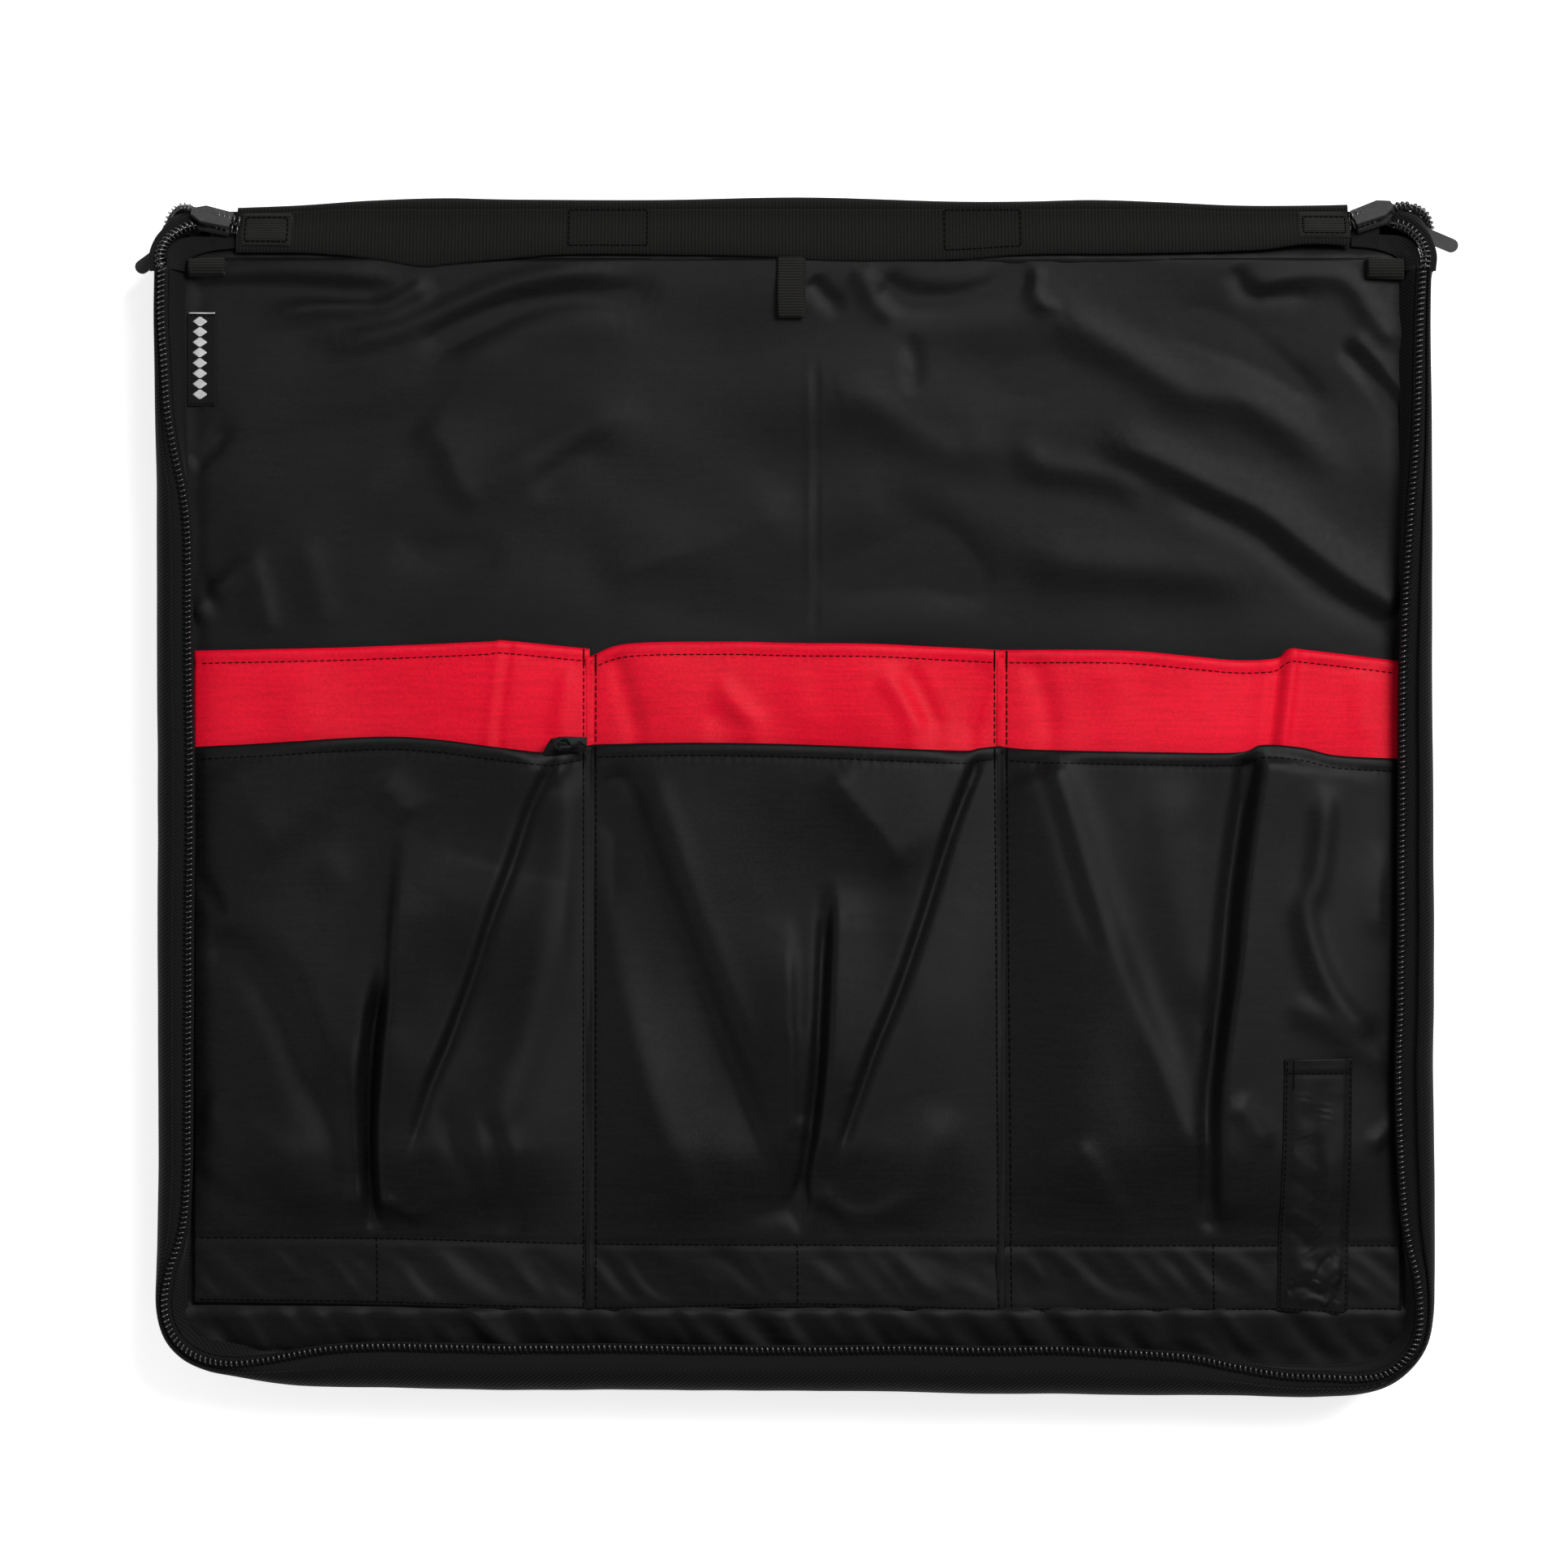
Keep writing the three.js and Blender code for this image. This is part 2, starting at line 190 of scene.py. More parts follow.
def twill(name, color, light, pitch=1.1, angle=0.9):
    """Tape woven with diagonal ribs."""
    n = Nodes(name)
    turned = n.stretched((1, 1, 1), (0, 0, angle))
    ribs = n.wave(n.axis("X", turned), pitch)
    fuzz = n.noise(1500, 2)
    n.set(Base_Color=n.ramp(n.total((ribs, 0.6), (fuzz, 0.4)), color, light, (0.2, 0.85)))
    n.set(Roughness=0.82, Sheen_Weight=0.03, Sheen_Roughness=0.5, Specular_IOR_Level=0.1)
    n.set(Normal=n.bump(ribs, 0.22, 0.8, n.bump(fuzz, 0.05, 0.5)))
    return n.material


def ribbed_webbing(name, color, light, along, pitch, cross):
    """Webbing with ribs across its length, and finer threads between them."""
    n = Nodes(name)
    ribs = n.wave(n.axis(along), pitch)
    threads = n.wave(n.axis("Y" if along == "X" else "X"), cross)
    fuzz = n.noise(1300, 3)
    n.set(Base_Color=n.ramp(n.total((ribs, 0.5), (threads, 0.25), (fuzz, 0.25)), color, light, (0.2, 0.9)))
    n.set(Roughness=0.88, Sheen_Weight=0.04, Sheen_Roughness=0.5, Specular_IOR_Level=0.15)
    n.set(Normal=n.bump(n.total((ribs, 0.7), (threads, 0.3)), 0.3, 0.8, n.bump(fuzz, 0.06, 0.6)))
    return n.material


def smooth_nylon(name, color, light, roughness, specular):
    """Monofilament and thread."""
    n = Nodes(name)
    n.set(Base_Color=n.ramp(n.noise(300, 3), color, light), Specular_IOR_Level=specular)
    n.roughness(700, 2, 0.2, roughness - 0.1)
    n.set(Normal=n.bump(n.noise(2500, 2), 0.03, 0.4))
    return n.material


def enamel(name, color, worn):
    """Painted die-cast metal, rubbed on its edges."""
    n = Nodes(name)
    edge = n.node("ShaderNodeNewGeometry").outputs["Pointiness"]
    rubbed = n.math("MULTIPLY", n.math("SUBTRACT", edge, 0.51, clamp=True), 9.0, clamp=True)
    scratch = n.math("MULTIPLY", rubbed, n.noise(500, 4))
    base = n.ramp(n.noise(120, 4), color, tuple(1.35 * c for c in color))
    n.set(Base_Color=n.mix(scratch, base, (*worn, 1)), Metallic=0.1)
    n.roughness(260, 4, 0.25, 0.42)
    n.set(Specular_IOR_Level=0.25)
    n.set(Normal=n.bump(n.noise(900, 3), 0.05, 0.35))
    return n.material


def foam_material(name):
    n = Nodes(name)
    cells = n.node("ShaderNodeTexVoronoi")
    n.put(n.place, cells.inputs["Vector"])
    cells.inputs["Scale"].default_value = 900
    n.set(Base_Color=n.ramp(cells.outputs["Distance"], (0.5, 0.49, 0.43), (0.72, 0.71, 0.66)), Roughness=0.95)
    n.set(Normal=n.bump(cells.outputs["Distance"], 0.2, 0.7))
    return n.material


BLACK_LINING = taffeta("lining_taffeta", (0.0022, 0.0022, 0.0024), (0.0056, 0.0056, 0.006), 0.46, 0.02)
POCKET_BLACK = taffeta("pocket_taffeta", (0.0024, 0.0024, 0.0026), (0.006, 0.006, 0.0064), 0.44, 0.02)
POCKET_RED = taffeta("red_taffeta", (0.5, 0.0006, 0.012), (0.7, 0.0018, 0.022), 0.5, 0.02)
SHELL_NYLON = twill("shell_nylon", (0.004, 0.004, 0.0045), (0.011, 0.011, 0.012), 0.9, 0.0)
GUSSET_TWILL = twill("gusset_twill", (0.001, 0.001, 0.001), (0.0066, 0.0065, 0.0062), 1.2, 0.95)
TAPE_TWILL = twill("tape_twill", (0.003, 0.003, 0.003), (0.009, 0.009, 0.009), 1.0, -0.8)
SPINE_WEBBING = ribbed_webbing("spine_webbing", (0.0014, 0.0014, 0.0012), (0.0082, 0.0078, 0.0072), "X", 1.37, 0.9)
LOOP_WEBBING = ribbed_webbing("loop_webbing", (0.0026, 0.0025, 0.0022), (0.019, 0.0185, 0.017), "Y", 1.1, 0.7)
TAB_WEBBING = ribbed_webbing("tab_webbing", (0.003, 0.003, 0.0026), (0.0165, 0.016, 0.0145), "Y", 1.0, 0.8)
COIL_NYLON = smooth_nylon("coil_nylon", (0.005, 0.005, 0.0054), (0.011, 0.011, 0.0115), 0.2, 1.0)
# Black thread, darker than the black cloth: its colour is partly the thread's own and partly painted shade of the
# needle holes, where the cloth is pulled in.
THREAD_AND_HOLE_SHADE = smooth_nylon("black_thread_and_hole_shade", (0.0006, 0.0006, 0.0006), (0.0016, 0.0016, 0.0016), 0.85, 0.05)
DARK_ENAMEL = enamel("slider_enamel", (0.016, 0.016, 0.0163), (0.05, 0.05, 0.05))
PULL_ENAMEL = enamel("pull_enamel", (0.018, 0.018, 0.018), (0.055, 0.055, 0.055))
FOAM = foam_material("white_foam")
LABEL_WEAVE = twill("label_weave", (0.0045, 0.0045, 0.005), (0.012, 0.012, 0.0125), 0.5, 0.3)
LABEL_THREAD = smooth_nylon("label_thread", (0.5, 0.5, 0.5), (0.62, 0.62, 0.62), 0.6, 0.3)

# thickness of the cloths in millimetres
LINING_THICK, POCKET_THICK, TAPE_THICK, GUSSET_THICK, WEBBING_THICK = 0.45, 0.42, 0.5, 0.9, 1.1


# ---- mesh helpers

def mesh_object(name, points, quads, material):
    """A smooth mesh of quads, from points in millimetres."""
    mesh = bpy.data.meshes.new(name)
    points = np.asarray(points, float).reshape(-1, 3) / 1000
    mesh.vertices.add(len(points))
    mesh.vertices.foreach_set("co", points.astype(np.float32).ravel())
    mesh.loops.add(quads.size)
    mesh.loops.foreach_set("vertex_index", quads.astype(np.int32).ravel())
    mesh.polygons.add(len(quads))
    mesh.polygons.foreach_set("loop_start", np.arange(0, quads.size, 4, dtype=np.int32))
    mesh.update(calc_edges=True)
    mesh.validate()
    mesh.polygons.foreach_set("use_smooth", [True] * len(mesh.polygons))
    obj = bpy.data.objects.new(name, mesh)
    mesh.materials.append(material)
    scene.collection.objects.link(obj)
    return obj


def settle(piece, bodies, node=None, limits=None):
    """Hides the CAD node that a piece stands for, and hangs the piece on the body that it rides on.
    With limits it is given two bodies, but only its transform is baked in: it hangs on neither, and is not blended."""
    if node:
        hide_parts(node)
    if limits:
        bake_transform(piece)
    else:
        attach(piece, bodies)
    return piece


def across_y(start, end):
    """Two points at two levels of y in millimetres, given to settle as limits."""
    return (0, mm(start), 0), (0, mm(end), 0)


def grid_faces(rows, columns, offset=0, close_columns=False):
    """Quads over a grid of points stored row by row."""
    r = np.arange(rows - 1)[:, None]
    c = np.arange(columns if close_columns else columns - 1)[None, :]
    a = r * columns + c
    b = r * columns + (c + 1) % columns
    return (np.stack([a, b, b + columns, a + columns], -1) + offset).reshape(-1, 4)


def grid_normals(p):
    """Unit normals of a grid of points, (rows, columns, 3); +Z for rows along +Y and columns along +X."""
    across = np.gradient(p, axis=1)
    along = np.gradient(p, axis=0)
    n = np.cross(across, along)
    return n / np.maximum(np.linalg.norm(n, axis=2, keepdims=True), 1e-9)


def cloth(name, p, thickness, material):
    """A closed sheet of even thickness whose face is the grid of points p."""
    rows, columns = p.shape[:2]
    back = p - grid_normals(p) * thickness
    total = rows * columns
    top = grid_faces(rows, columns)
    bottom = grid_faces(rows, columns, total)[:, ::-1]
    ring = np.concatenate([
        np.arange(columns),
        np.arange(1, rows) * columns + columns - 1,
        (rows - 1) * columns + np.arange(columns - 2, -1, -1),
        np.arange(rows - 2, 0, -1) * columns,
    ])
    following = np.roll(ring, -1)
    sides = np.stack([ring, ring + total, following + total, following], -1)
    points = np.concatenate([p.reshape(-1, 3), back.reshape(-1, 3)])
    return mesh_object(name, points, np.concatenate([top, bottom, sides]), material)


def way_along(line):
    """Length of the way to each point of a line."""
    return np.concatenate([[0], np.cumsum(np.linalg.norm(np.diff(line, axis=0), axis=1))])


def sample(line, way, at):
    """A line's points (any dimension) at some lengths of its way."""
    return np.stack([np.interp(at, way, line[:, k]) for k in range(line.shape[1])], -1)


def spline(points, count=None, step=None):
    """Points along a smooth curve through the given ones (any dimension), evenly spaced in length."""
    p = np.asarray(points, float)
    ends = np.concatenate([[2 * p[0] - p[1]], p, [2 * p[-1] - p[-2]]])
    t = np.linspace(0, 1, 24, endpoint=False)[:, None]
    out = []
    for a, b, c, d in zip(ends[:-3], ends[1:-2], ends[2:-1], ends[3:]):
        out.append(0.5 * (2 * b + (c - a) * t + (2 * a - 5 * b + 4 * c - d) * t**2 + (3 * b - a - 3 * c + d) * t**3))
    fine = np.concatenate([*out, p[-1:]])
    way = way_along(fine[:, :3])
    count = count or max(2, int(round(way[-1] / step)) + 1)
    return sample(fine, way, np.linspace(0, way[-1], count))


def smooth_step(t):
    t = np.clip(t, 0, 1)
    return t * t * (3 - 2 * t)


def unit(v):
    return v / np.maximum(np.linalg.norm(v, axis=-1, keepdims=True), 1e-9)


def height_noise(x, y, seed, scale, octaves=3):
    """Smooth noise from sums of sines turned every way, about -1 to 1, the same on every run."""
    rng = np.random.default_rng(seed)
    total = np.zeros_like(x)
    weight = 0
    for octave in range(octaves):
        for _ in range(5):
            angle = rng.uniform(0, math.pi)
            phase, bend = rng.uniform(0, 2 * math.pi, 2)
            k = 2 * math.pi / scale * 2**octave * rng.uniform(0.7, 1.3)
            u = x * math.cos(angle) + y * math.sin(angle)
            v = -x * math.sin(angle) + y * math.cos(angle)
            total += np.sin(k * u + phase + 1.3 * np.sin(0.4 * k * v + bend)) / 2**octave
            weight += 0.5 / 2**octave
    return total / weight


def tube_quads(path, radius, sides=6):
    """A round thread along a path, closed at both ends, as points and quads."""
    p = np.asarray(path, float)
    tangent = unit(np.gradient(p, axis=0))
    side = np.cross(tangent, [0.0, 0.0, 1.0])
    steep = np.linalg.norm(side, axis=1) < 0.15
    side[steep] = np.cross(tangent[steep], [1.0, 0.0, 0.0])
    side = unit(side)
    over = np.cross(side, tangent)
    angle = np.linspace(0, 2 * math.pi, sides, endpoint=False)
    ring = side[:, None] * np.cos(angle)[None, :, None] + over[:, None] * np.sin(angle)[None, :, None]
    points = (p[:, None] + ring * radius).reshape(-1, 3)
    cap = np.array([[0, i, i + 1, i + 2] for i in range(1, sides - 1, 2)])
    last = (len(p) - 1) * sides
    body = grid_faces(len(p), sides, close_columns=True)
    return points, np.concatenate([body, cap[:, ::-1], cap + last])


class Threads:
    """Many small closed forms of quads gathered into one piece."""

    def __init__(self):
        self.points, self.faces, self.count = [], [], 0

    def add(self, points, faces):
        self.points.append(points)
        self.faces.append(faces + self.count)
        self.count += len(points)

    def make(self, name, material=None):
        # by default the stitches take the thread material whose colour holds painted shade of the needle holes
        return mesh_object(name, np.concatenate(self.points), np.concatenate(self.faces), material or THREAD_AND_HOLE_SHADE)

    def ride(self, name, body="front_half", material=None):
        settle(self.make(name, material), body)


class Surface:
    """A grid of points over flat coordinates, which can be looked up between its points."""

    def __init__(self, flat_x, flat_y, points):
        self.flat_x, self.flat_y, self.points = flat_x, flat_y, points
        self.normals = grid_normals(points)

    def look_up(self, x, y):
        """Point and normal at flat (x, y): rows run along y, and every row's y depends on x a little."""
        c = np.clip(np.searchsorted(self.flat_x[0], x) - 1, 0, self.flat_x.shape[1] - 2)
        a = (x - self.flat_x[0, c]) / (self.flat_x[0, c + 1] - self.flat_x[0, c])
        column = (1 - a) * self.flat_y[:, c] + a * self.flat_y[:, c + 1]
        r = int(np.clip(np.searchsorted(column, y) - 1, 0, len(column) - 2))
        b = np.clip((y - column[r]) / (column[r + 1] - column[r]), -0.2, 1.2)

        def between(values):
            low = (1 - a) * values[r, c] + a * values[r, c + 1]
            high = (1 - a) * values[r + 1, c] + a * values[r + 1, c + 1]
            return (1 - b) * low + b * high

        return between(self.points), unit(between(self.normals))


STITCH_SHARES = (0.0, 0.18, 0.5, 0.82, 1.0)  # the shares of a stitch's length where its thread is placed


def add_stitch(threads, places, radius, depth):
    """One stitch along places, each a point and its normal. Its two ends go down into the cloth."""
    rises = (-depth, 0.16, 0.16, 0.16, -depth)
    threads.add(*tube_quads([point + normal * rise for (point, normal), rise in zip(places, rises)], radius))


def stitches(threads, surface, path, pitch=2.6, length=1.9, radius=0.2):
    """Lockstitches along a path of flat coordinates on a surface."""
    line = spline(path, step=pitch)
    for a, b in zip(line[:-1], line[1:]):
        flat = [a + (b - a) * (0.5 + (share - 0.5) * length / pitch) for share in STITCH_SHARES]
        add_stitch(threads, [surface.look_up(*at) for at in flat], radius, 0.35)


# ---- folds

def nearest_on_path(x, y, path):
    """Signed distance (positive on the right of the way along), share of the way, and the right-hand direction."""
    line = spline(path, step=2.5)[:, :2]
    direction = unit(np.gradient(line, axis=0))
    flat = np.stack([x.ravel(), y.ravel()], 1)
    near = np.empty(len(flat), int)
    for i in range(0, len(flat), 20000):
        gap = flat[i:i + 20000, None] - line[None]
        near[i:i + 20000] = (gap**2).sum(2).argmin(1)
    t = direction[near]
    right = np.stack([t[:, 1], -t[:, 0]], 1)
    offset = flat - line[near]
    distance = (offset * right).sum(1)
    along = (offset * t).sum(1)
    beyond = np.abs(along) * ((near == 0) | (near == len(line) - 1))
    share = near / (len(line) - 1)
    shape = x.shape
    return distance.reshape(shape), share.reshape(shape), right.reshape(*shape, 2), beyond.reshape(shape)


def fold(points, flat, path, height, left, right, ends, lean=0.0):
    """Raises (or sinks) a ridge along a path over the grid flat. left and right are its half widths, ends are the
    shares of the path over which it fades, lean is how far its crest moves to the right for each millimetre of
    height. A side wider than 12 mm falls away like a flat facet from a crease."""
    distance, share, side, beyond = nearest_on_path(flat[..., 0], flat[..., 1], path)
    width = np.where(distance > 0, right, left)
    profile = np.exp(-np.abs(distance / width) ** np.where(width > 12, 1.15, 2.0))
    fade = np.ones_like(share)
    for end, way in zip(ends, (share, 1 - share)):
        if end > 0:
            fade = fade * smooth_step(way / end + 0.001)
    rise = height * profile * (fade * np.exp(-(beyond / 5.0) ** 2))
    points[..., 2] += rise
    points[..., :2] += side * (rise * lean * np.sign(height))[..., None]


def add_folds(points, flat, folds, more=1.0):
    for path, height, *shape in folds:
        fold(points, flat, path, more * height, *shape)


def blend_rows(values, along_rows, along_columns):
    """Averages a grid of points with its neighbours so many times each way, ends held."""
    out = values.copy()
    for axis, passes in enumerate((along_rows, along_columns)):
        for _ in range(passes):
            out = np.moveaxis(out, axis, 0)
            out[1:-1] = 0.25 * out[:-2] + 0.5 * out[1:-1] + 0.25 * out[2:]
            out = np.moveaxis(out, 0, axis)
    return out


# ---- walls: gusset, tape and coil

# Stations along a wall from the top left, round the foot and up the right: the outside of the wall (x, y)
# and the middle of the coil (x, y).
WALL_STATIONS = [
    (-251, 207, -248.4, 207), (-251.2, 188, -248.5, 188), (-251.2, 170, -247.6, 171),
    (-251, 150, -246.2, 151), (-250.8, 132, -243.6, 133), (-250.6, 118, -240.6, 118),
    (-250.5, 100, -238.8, 100), (-250.4, 69, -238.6, 69), (-250.2, 25, -238.1, 25),
    (-250, -38, -238, -38), (-250, -102, -238.6, -102), (-250.2, -157, -239.6, -157),
    (-250.4, -174, -241.6, -173), (-250.6, -187, -245.4, -186), (-250.2, -201, -246.9, -200),
    (-247.2, -212.5, -244, -210.4), (-240.5, -220.4, -238, -217.2), (-231, -225, -230, -220.9),
    (-221, -227.2, -220, -222.2), (-208, -229.8, -207, -221.2), (-195, -231.2, -194.5, -219),
    (-180, -231.8, -180, -217.3), (-160, -232, -160, -216.6), (-128, -232.4, -128, -216.8),
    (-89, -232.7, -89, -217.1), (-40, -232.8, -40, -217.4), (10, -233, 10, -217.6),
    (60, -234, 60, -217.9), (101, -234.4, 101, -218.1), (135, -234.7, 135, -219.2),
    (155, -234.8, 155, -220.9), (172, -235, 172, -224.2), (190, -235.6, 190, -227.2),
    (205, -235.8, 206, -228.2), (220, -235, 219, -228.8), (232, -231.6, 229.6, -227),
    (241, -224.8, 237.5, -221.8), (247, -215.6, 242.6, -214.2), (249.4, -204, 244.4, -204),
    (249.8, -190, 243.4, -190), (249.8, -176, 240.2, -176), (249.6, -160, 238, -160),
    (249.4, -130, 236.7, -130), (249.2, -100, 236.6, -100), (249.2, -38, 237.2, -38),
    (249, 25, 237.8, 25), (248.8, 69, 238.5, 69), (248.6, 104, 240, 104),
    (248.4, 133, 242, 133), (248.2, 165, 243.4, 165), (248.2, 190, 244.4, 190),
    (248.4, 207, 245.4, 207),
]

# Cross-sections as (distance inwards, height above the leaf's outside face), for a coil 12 mm in from the
# outside, where the wall curls over, and for one 2.8 mm in, where the wall leans out.
CURLED, LEANING = 12, 2.8
GUSSET_SECTION = (
    [(2.8, 0.9), (0.6, 3.6), (0, 8.6), (1, 13.6), (3.4, 16.7), (6.4, 17.3)],
    [(2.8, 0.9), (1.1, 3.8), (0.4, 8.4), (0.2, 12.4), (0.4, 15), (1, 16.6)],
)
TAPE_SECTION = (
    [(5.2, 15.4), (7.2, 15), (9.2, 14.3), (11, 13.7), (13.9, 13.5)],
    [(1.2, 14.6), (1.5, 15.6), (2, 16), (2.8, 16), (5, 15)],
)
FACING_SECTION = (
    [(13.6, 12.8), (12.8, 10.6), (11.4, 8), (10.9, 6.4), (11.6, 5.6)],
    [(5, 14.3), (6.2, 12.2), (7.8, 9), (9.2, 6.6), (10.4, 5.6)],
)
COIL_CENTRE = ((12, 14.9), (2.8, 17.2))
PRESSED = 0.92  # how much of its height the lower wall keeps under the weight on it
COIL_PITCH, COIL_HALF_WIDTH, COIL_HALF_HEIGHT, WIRE = 2.06, 1.75, 0.95, 0.4


BACK_TOP_RIGHT = [(249.6, 190, 246.4, 190), (252.0, 207, 249.2, 207)]  # the back wall's last two stations


class Wall:
    """One leaf's wall. The back leaf's is the front's turned over, a little different along its way."""

    def __init__(self, side, seed):
        self.side = side
        stations = np.array(WALL_STATIONS if side == "front" else WALL_STATIONS[:-2] + BACK_TOP_RIGHT, float)
        self.line = spline(stations[:, [2, 3, 0, 1]], step=2.0)
        self.coil, self.outside = self.line[:, :2], self.line[:, 2:]
        self.tangent = unit(np.gradient(blend_rows(self.outside[:, None], 14, 0)[:, 0], axis=0))
        self.inward = np.stack([-self.tangent[:, 1], self.tangent[:, 0]], 1)
        self.depth = ((self.coil - self.outside) * self.inward).sum(1)
        self.lean = (self.depth - LEANING) / (CURLED - LEANING)
        way = np.arange(len(self.line)) * 2.0
        zero = np.zeros_like(way)
        self.wobble_in = 0.5 * height_noise(way, zero, seed, 150, 3)
        self.wobble_up = 0.45 * height_noise(way, zero, seed + 1, 110, 3)

    def height(self, z):
        return BASE + z if self.side == "front" else 2 * MIDDLE - BASE - PRESSED * z

    def surface(self, sections, samples):
        """Grid of points: one row for each sample across the section, one column for each step of the way."""
        curled, leaning = (spline(s, count=samples) for s in sections)
        k = self.lean[None, :, None]
        flat = leaning[:, None, :] * (1 - k) + curled[:, None, :] * k
        share = np.clip(flat[..., 1] / 16, 0, 1)
        u = flat[..., 0] + self.wobble_in[None] * share
        v = flat[..., 1] + self.wobble_up[None] * share
        xy = self.outside[None] + self.inward[None] * u[..., None]
        return np.concatenate([xy, self.height(v)[..., None]], 2)

    def centre(self):
        k = self.lean
        v = COIL_CENTRE[1][1] * (1 - k) + COIL_CENTRE[0][1] * k + self.wobble_up
        xy = self.coil + self.inward * self.wobble_in[:, None]
        return np.concatenate([xy, self.height(v)[:, None]], 1)


def coil_points(centre, across, phase=0.0):
    """Helix of a zip coil: across points towards the heads of the turns."""
    way = way_along(centre)
    turns = int(way[-1] / COIL_PITCH)
    s = np.linspace(0, turns * COIL_PITCH, turns * 12 + 1)
    c, w = sample(centre, way, s), unit(sample(across, way, s))
    over = unit(np.cross(unit(np.gradient(c, axis=0)), w))
    angle = 2 * math.pi * s / COIL_PITCH + phase
    flat, tall = (np.sign(v) * np.abs(v) ** 0.75 for v in (np.cos(angle), np.sin(angle)))
    return c + w * (flat * COIL_HALF_WIDTH)[:, None] + over * (tall * COIL_HALF_HEIGHT)[:, None]


def wall_across(wall):
    """Direction from the back of the coil to its heads: inwards and up, steeper where the wall leans out."""
    up = 1 if wall.side == "front" else -0.35
    tipped = 0.7 + 0.6 * np.clip(1 - wall.lean, 0, 1)
    return unit(np.concatenate([wall.inward, (tipped * up)[:, None]], 1))


def build_wall(side, seed):
    wall = Wall(side, seed)
    body = f"{side}_half"
    gusset_points = wall.surface(GUSSET_SECTION, 18)
    for name, points, thickness, material, node in (
        ("gusset_cloth", gusset_points, GUSSET_THICK, GUSSET_TWILL, f"{side}_gusset"),
        ("zip_tape_cloth", wall.surface(TAPE_SECTION, 10), TAPE_THICK, TAPE_TWILL, f"{side}_zip_tape"),
        ("wall_facing", wall.surface(FACING_SECTION, 10), 0.6, TAPE_TWILL, None),
    ):
        outward = points if side == "back" else points[::-1]
        settle(cloth(f"{side}_{name}", outward, thickness, material), body, node)
    turns = tube_quads(coil_points(wall.centre(), wall_across(wall)), WIRE)
    settle(mesh_object(f"{side}_coil_turns", *turns, COIL_NYLON), body, f"{side}_zip_coil")
    row, normal = gusset_points[-3], grid_normals(gusset_points)[-3]
    outward = normal[len(row) // 2, 2] * (1 if side == "front" else -1) > 0
    seam = Threads()
    place_stitches(seam, row, normal if outward else -normal)
    seam.ride(f"{side}_wall_stitching", body)
    return wall


def place_stitches(threads, row, normals):
    """Stitches along a row of points with their normals."""
    pitch, length = 2.7, 2.0
    way = way_along(row)
    for start in np.arange(0.5, way[-1] - pitch, pitch):
        places = [start + length * share for share in STITCH_SHARES]
        add_stitch(threads, [(sample(row, way, s), sample(normals, way, s)) for s in places], 0.2, 0.3)


front_wall = build_wall("front", 11)
build_wall("back", 31)


# ---- leaves: shell, foam and lining

FOOT_RADIUS, HEAD_RADIUS = 26.0, 14.0  # the leaf's corners
FOAM_GAP = 4.6  # how far the foam stops short of the leaf's head
WALL_GAP = 2.9  # how far every layer of a leaf stays inside the wall's outside


def rounded(x, y, inset):
    """Pulls points of a rectangular grid in to the leaf's rounded outline: a rounded square mapping."""
    cx, cy = (LEAF_LEFT + LEAF_RIGHT) / 2, (LEAF_FOOT + LEAF_HEAD) / 2
    half_x, half_y = (LEAF_RIGHT - LEAF_LEFT) / 2 - inset, (LEAF_HEAD - LEAF_FOOT) / 2 - inset
    u, v = (x - cx) / half_x, (y - cy) / half_y
    radius = np.where(v < 0, FOOT_RADIUS, HEAD_RADIUS)
    px, py = np.abs(u) * half_x, np.abs(v) * half_y
    qx, qy = px - (half_x - radius), py - (half_y - radius)
    corner = (qx > 0) & (qy > 0)
    square = np.maximum(qx, qy)
    length = np.maximum(np.hypot(qx, qy), 1e-9)
    scale = np.where(corner, square / length, 1)
    nx = np.where(corner, half_x - radius + qx * scale, px)
    ny = np.where(corner, half_y - radius + qy * scale, py)
    return tucked(cx + np.sign(u) * nx, cy + np.sign(v) * ny, WALL_GAP + inset)


def tucked(x, y, inset):
    """Moves points that lie beyond the wall, or closer to its outside than inset, back inside it."""
    flat = np.stack([x.ravel(), y.ravel()], 1)
    edge = np.minimum.reduce([flat[:, 0] - LEAF_LEFT, LEAF_RIGHT - flat[:, 0], flat[:, 1] - LEAF_FOOT])
    for i in np.nonzero((edge < 16) & (flat[:, 1] < 200))[0]:
        near = ((front_wall.outside - flat[i]) ** 2).sum(1).argmin()
        inward = front_wall.inward[near]
        flat[i] += inward * max(0.0, inset - (flat[i] - front_wall.outside[near]) @ inward)
    return flat[:, 0].reshape(x.shape), flat[:, 1].reshape(x.shape)


def leaf_height(side, v):
    return BASE + v if side == "front" else 2 * MIDDLE - BASE - v


def leaf_cloth(side, name, points, thickness, material, node):
    """A layer of one leaf. Its grid of points faces up on the front leaf and down on the back leaf."""
    piece = cloth(f"{side}_{name}", points if side == "front" else points[::-1], thickness, material)
    return settle(piece, f"{side}_half", f"{side}_{node}")


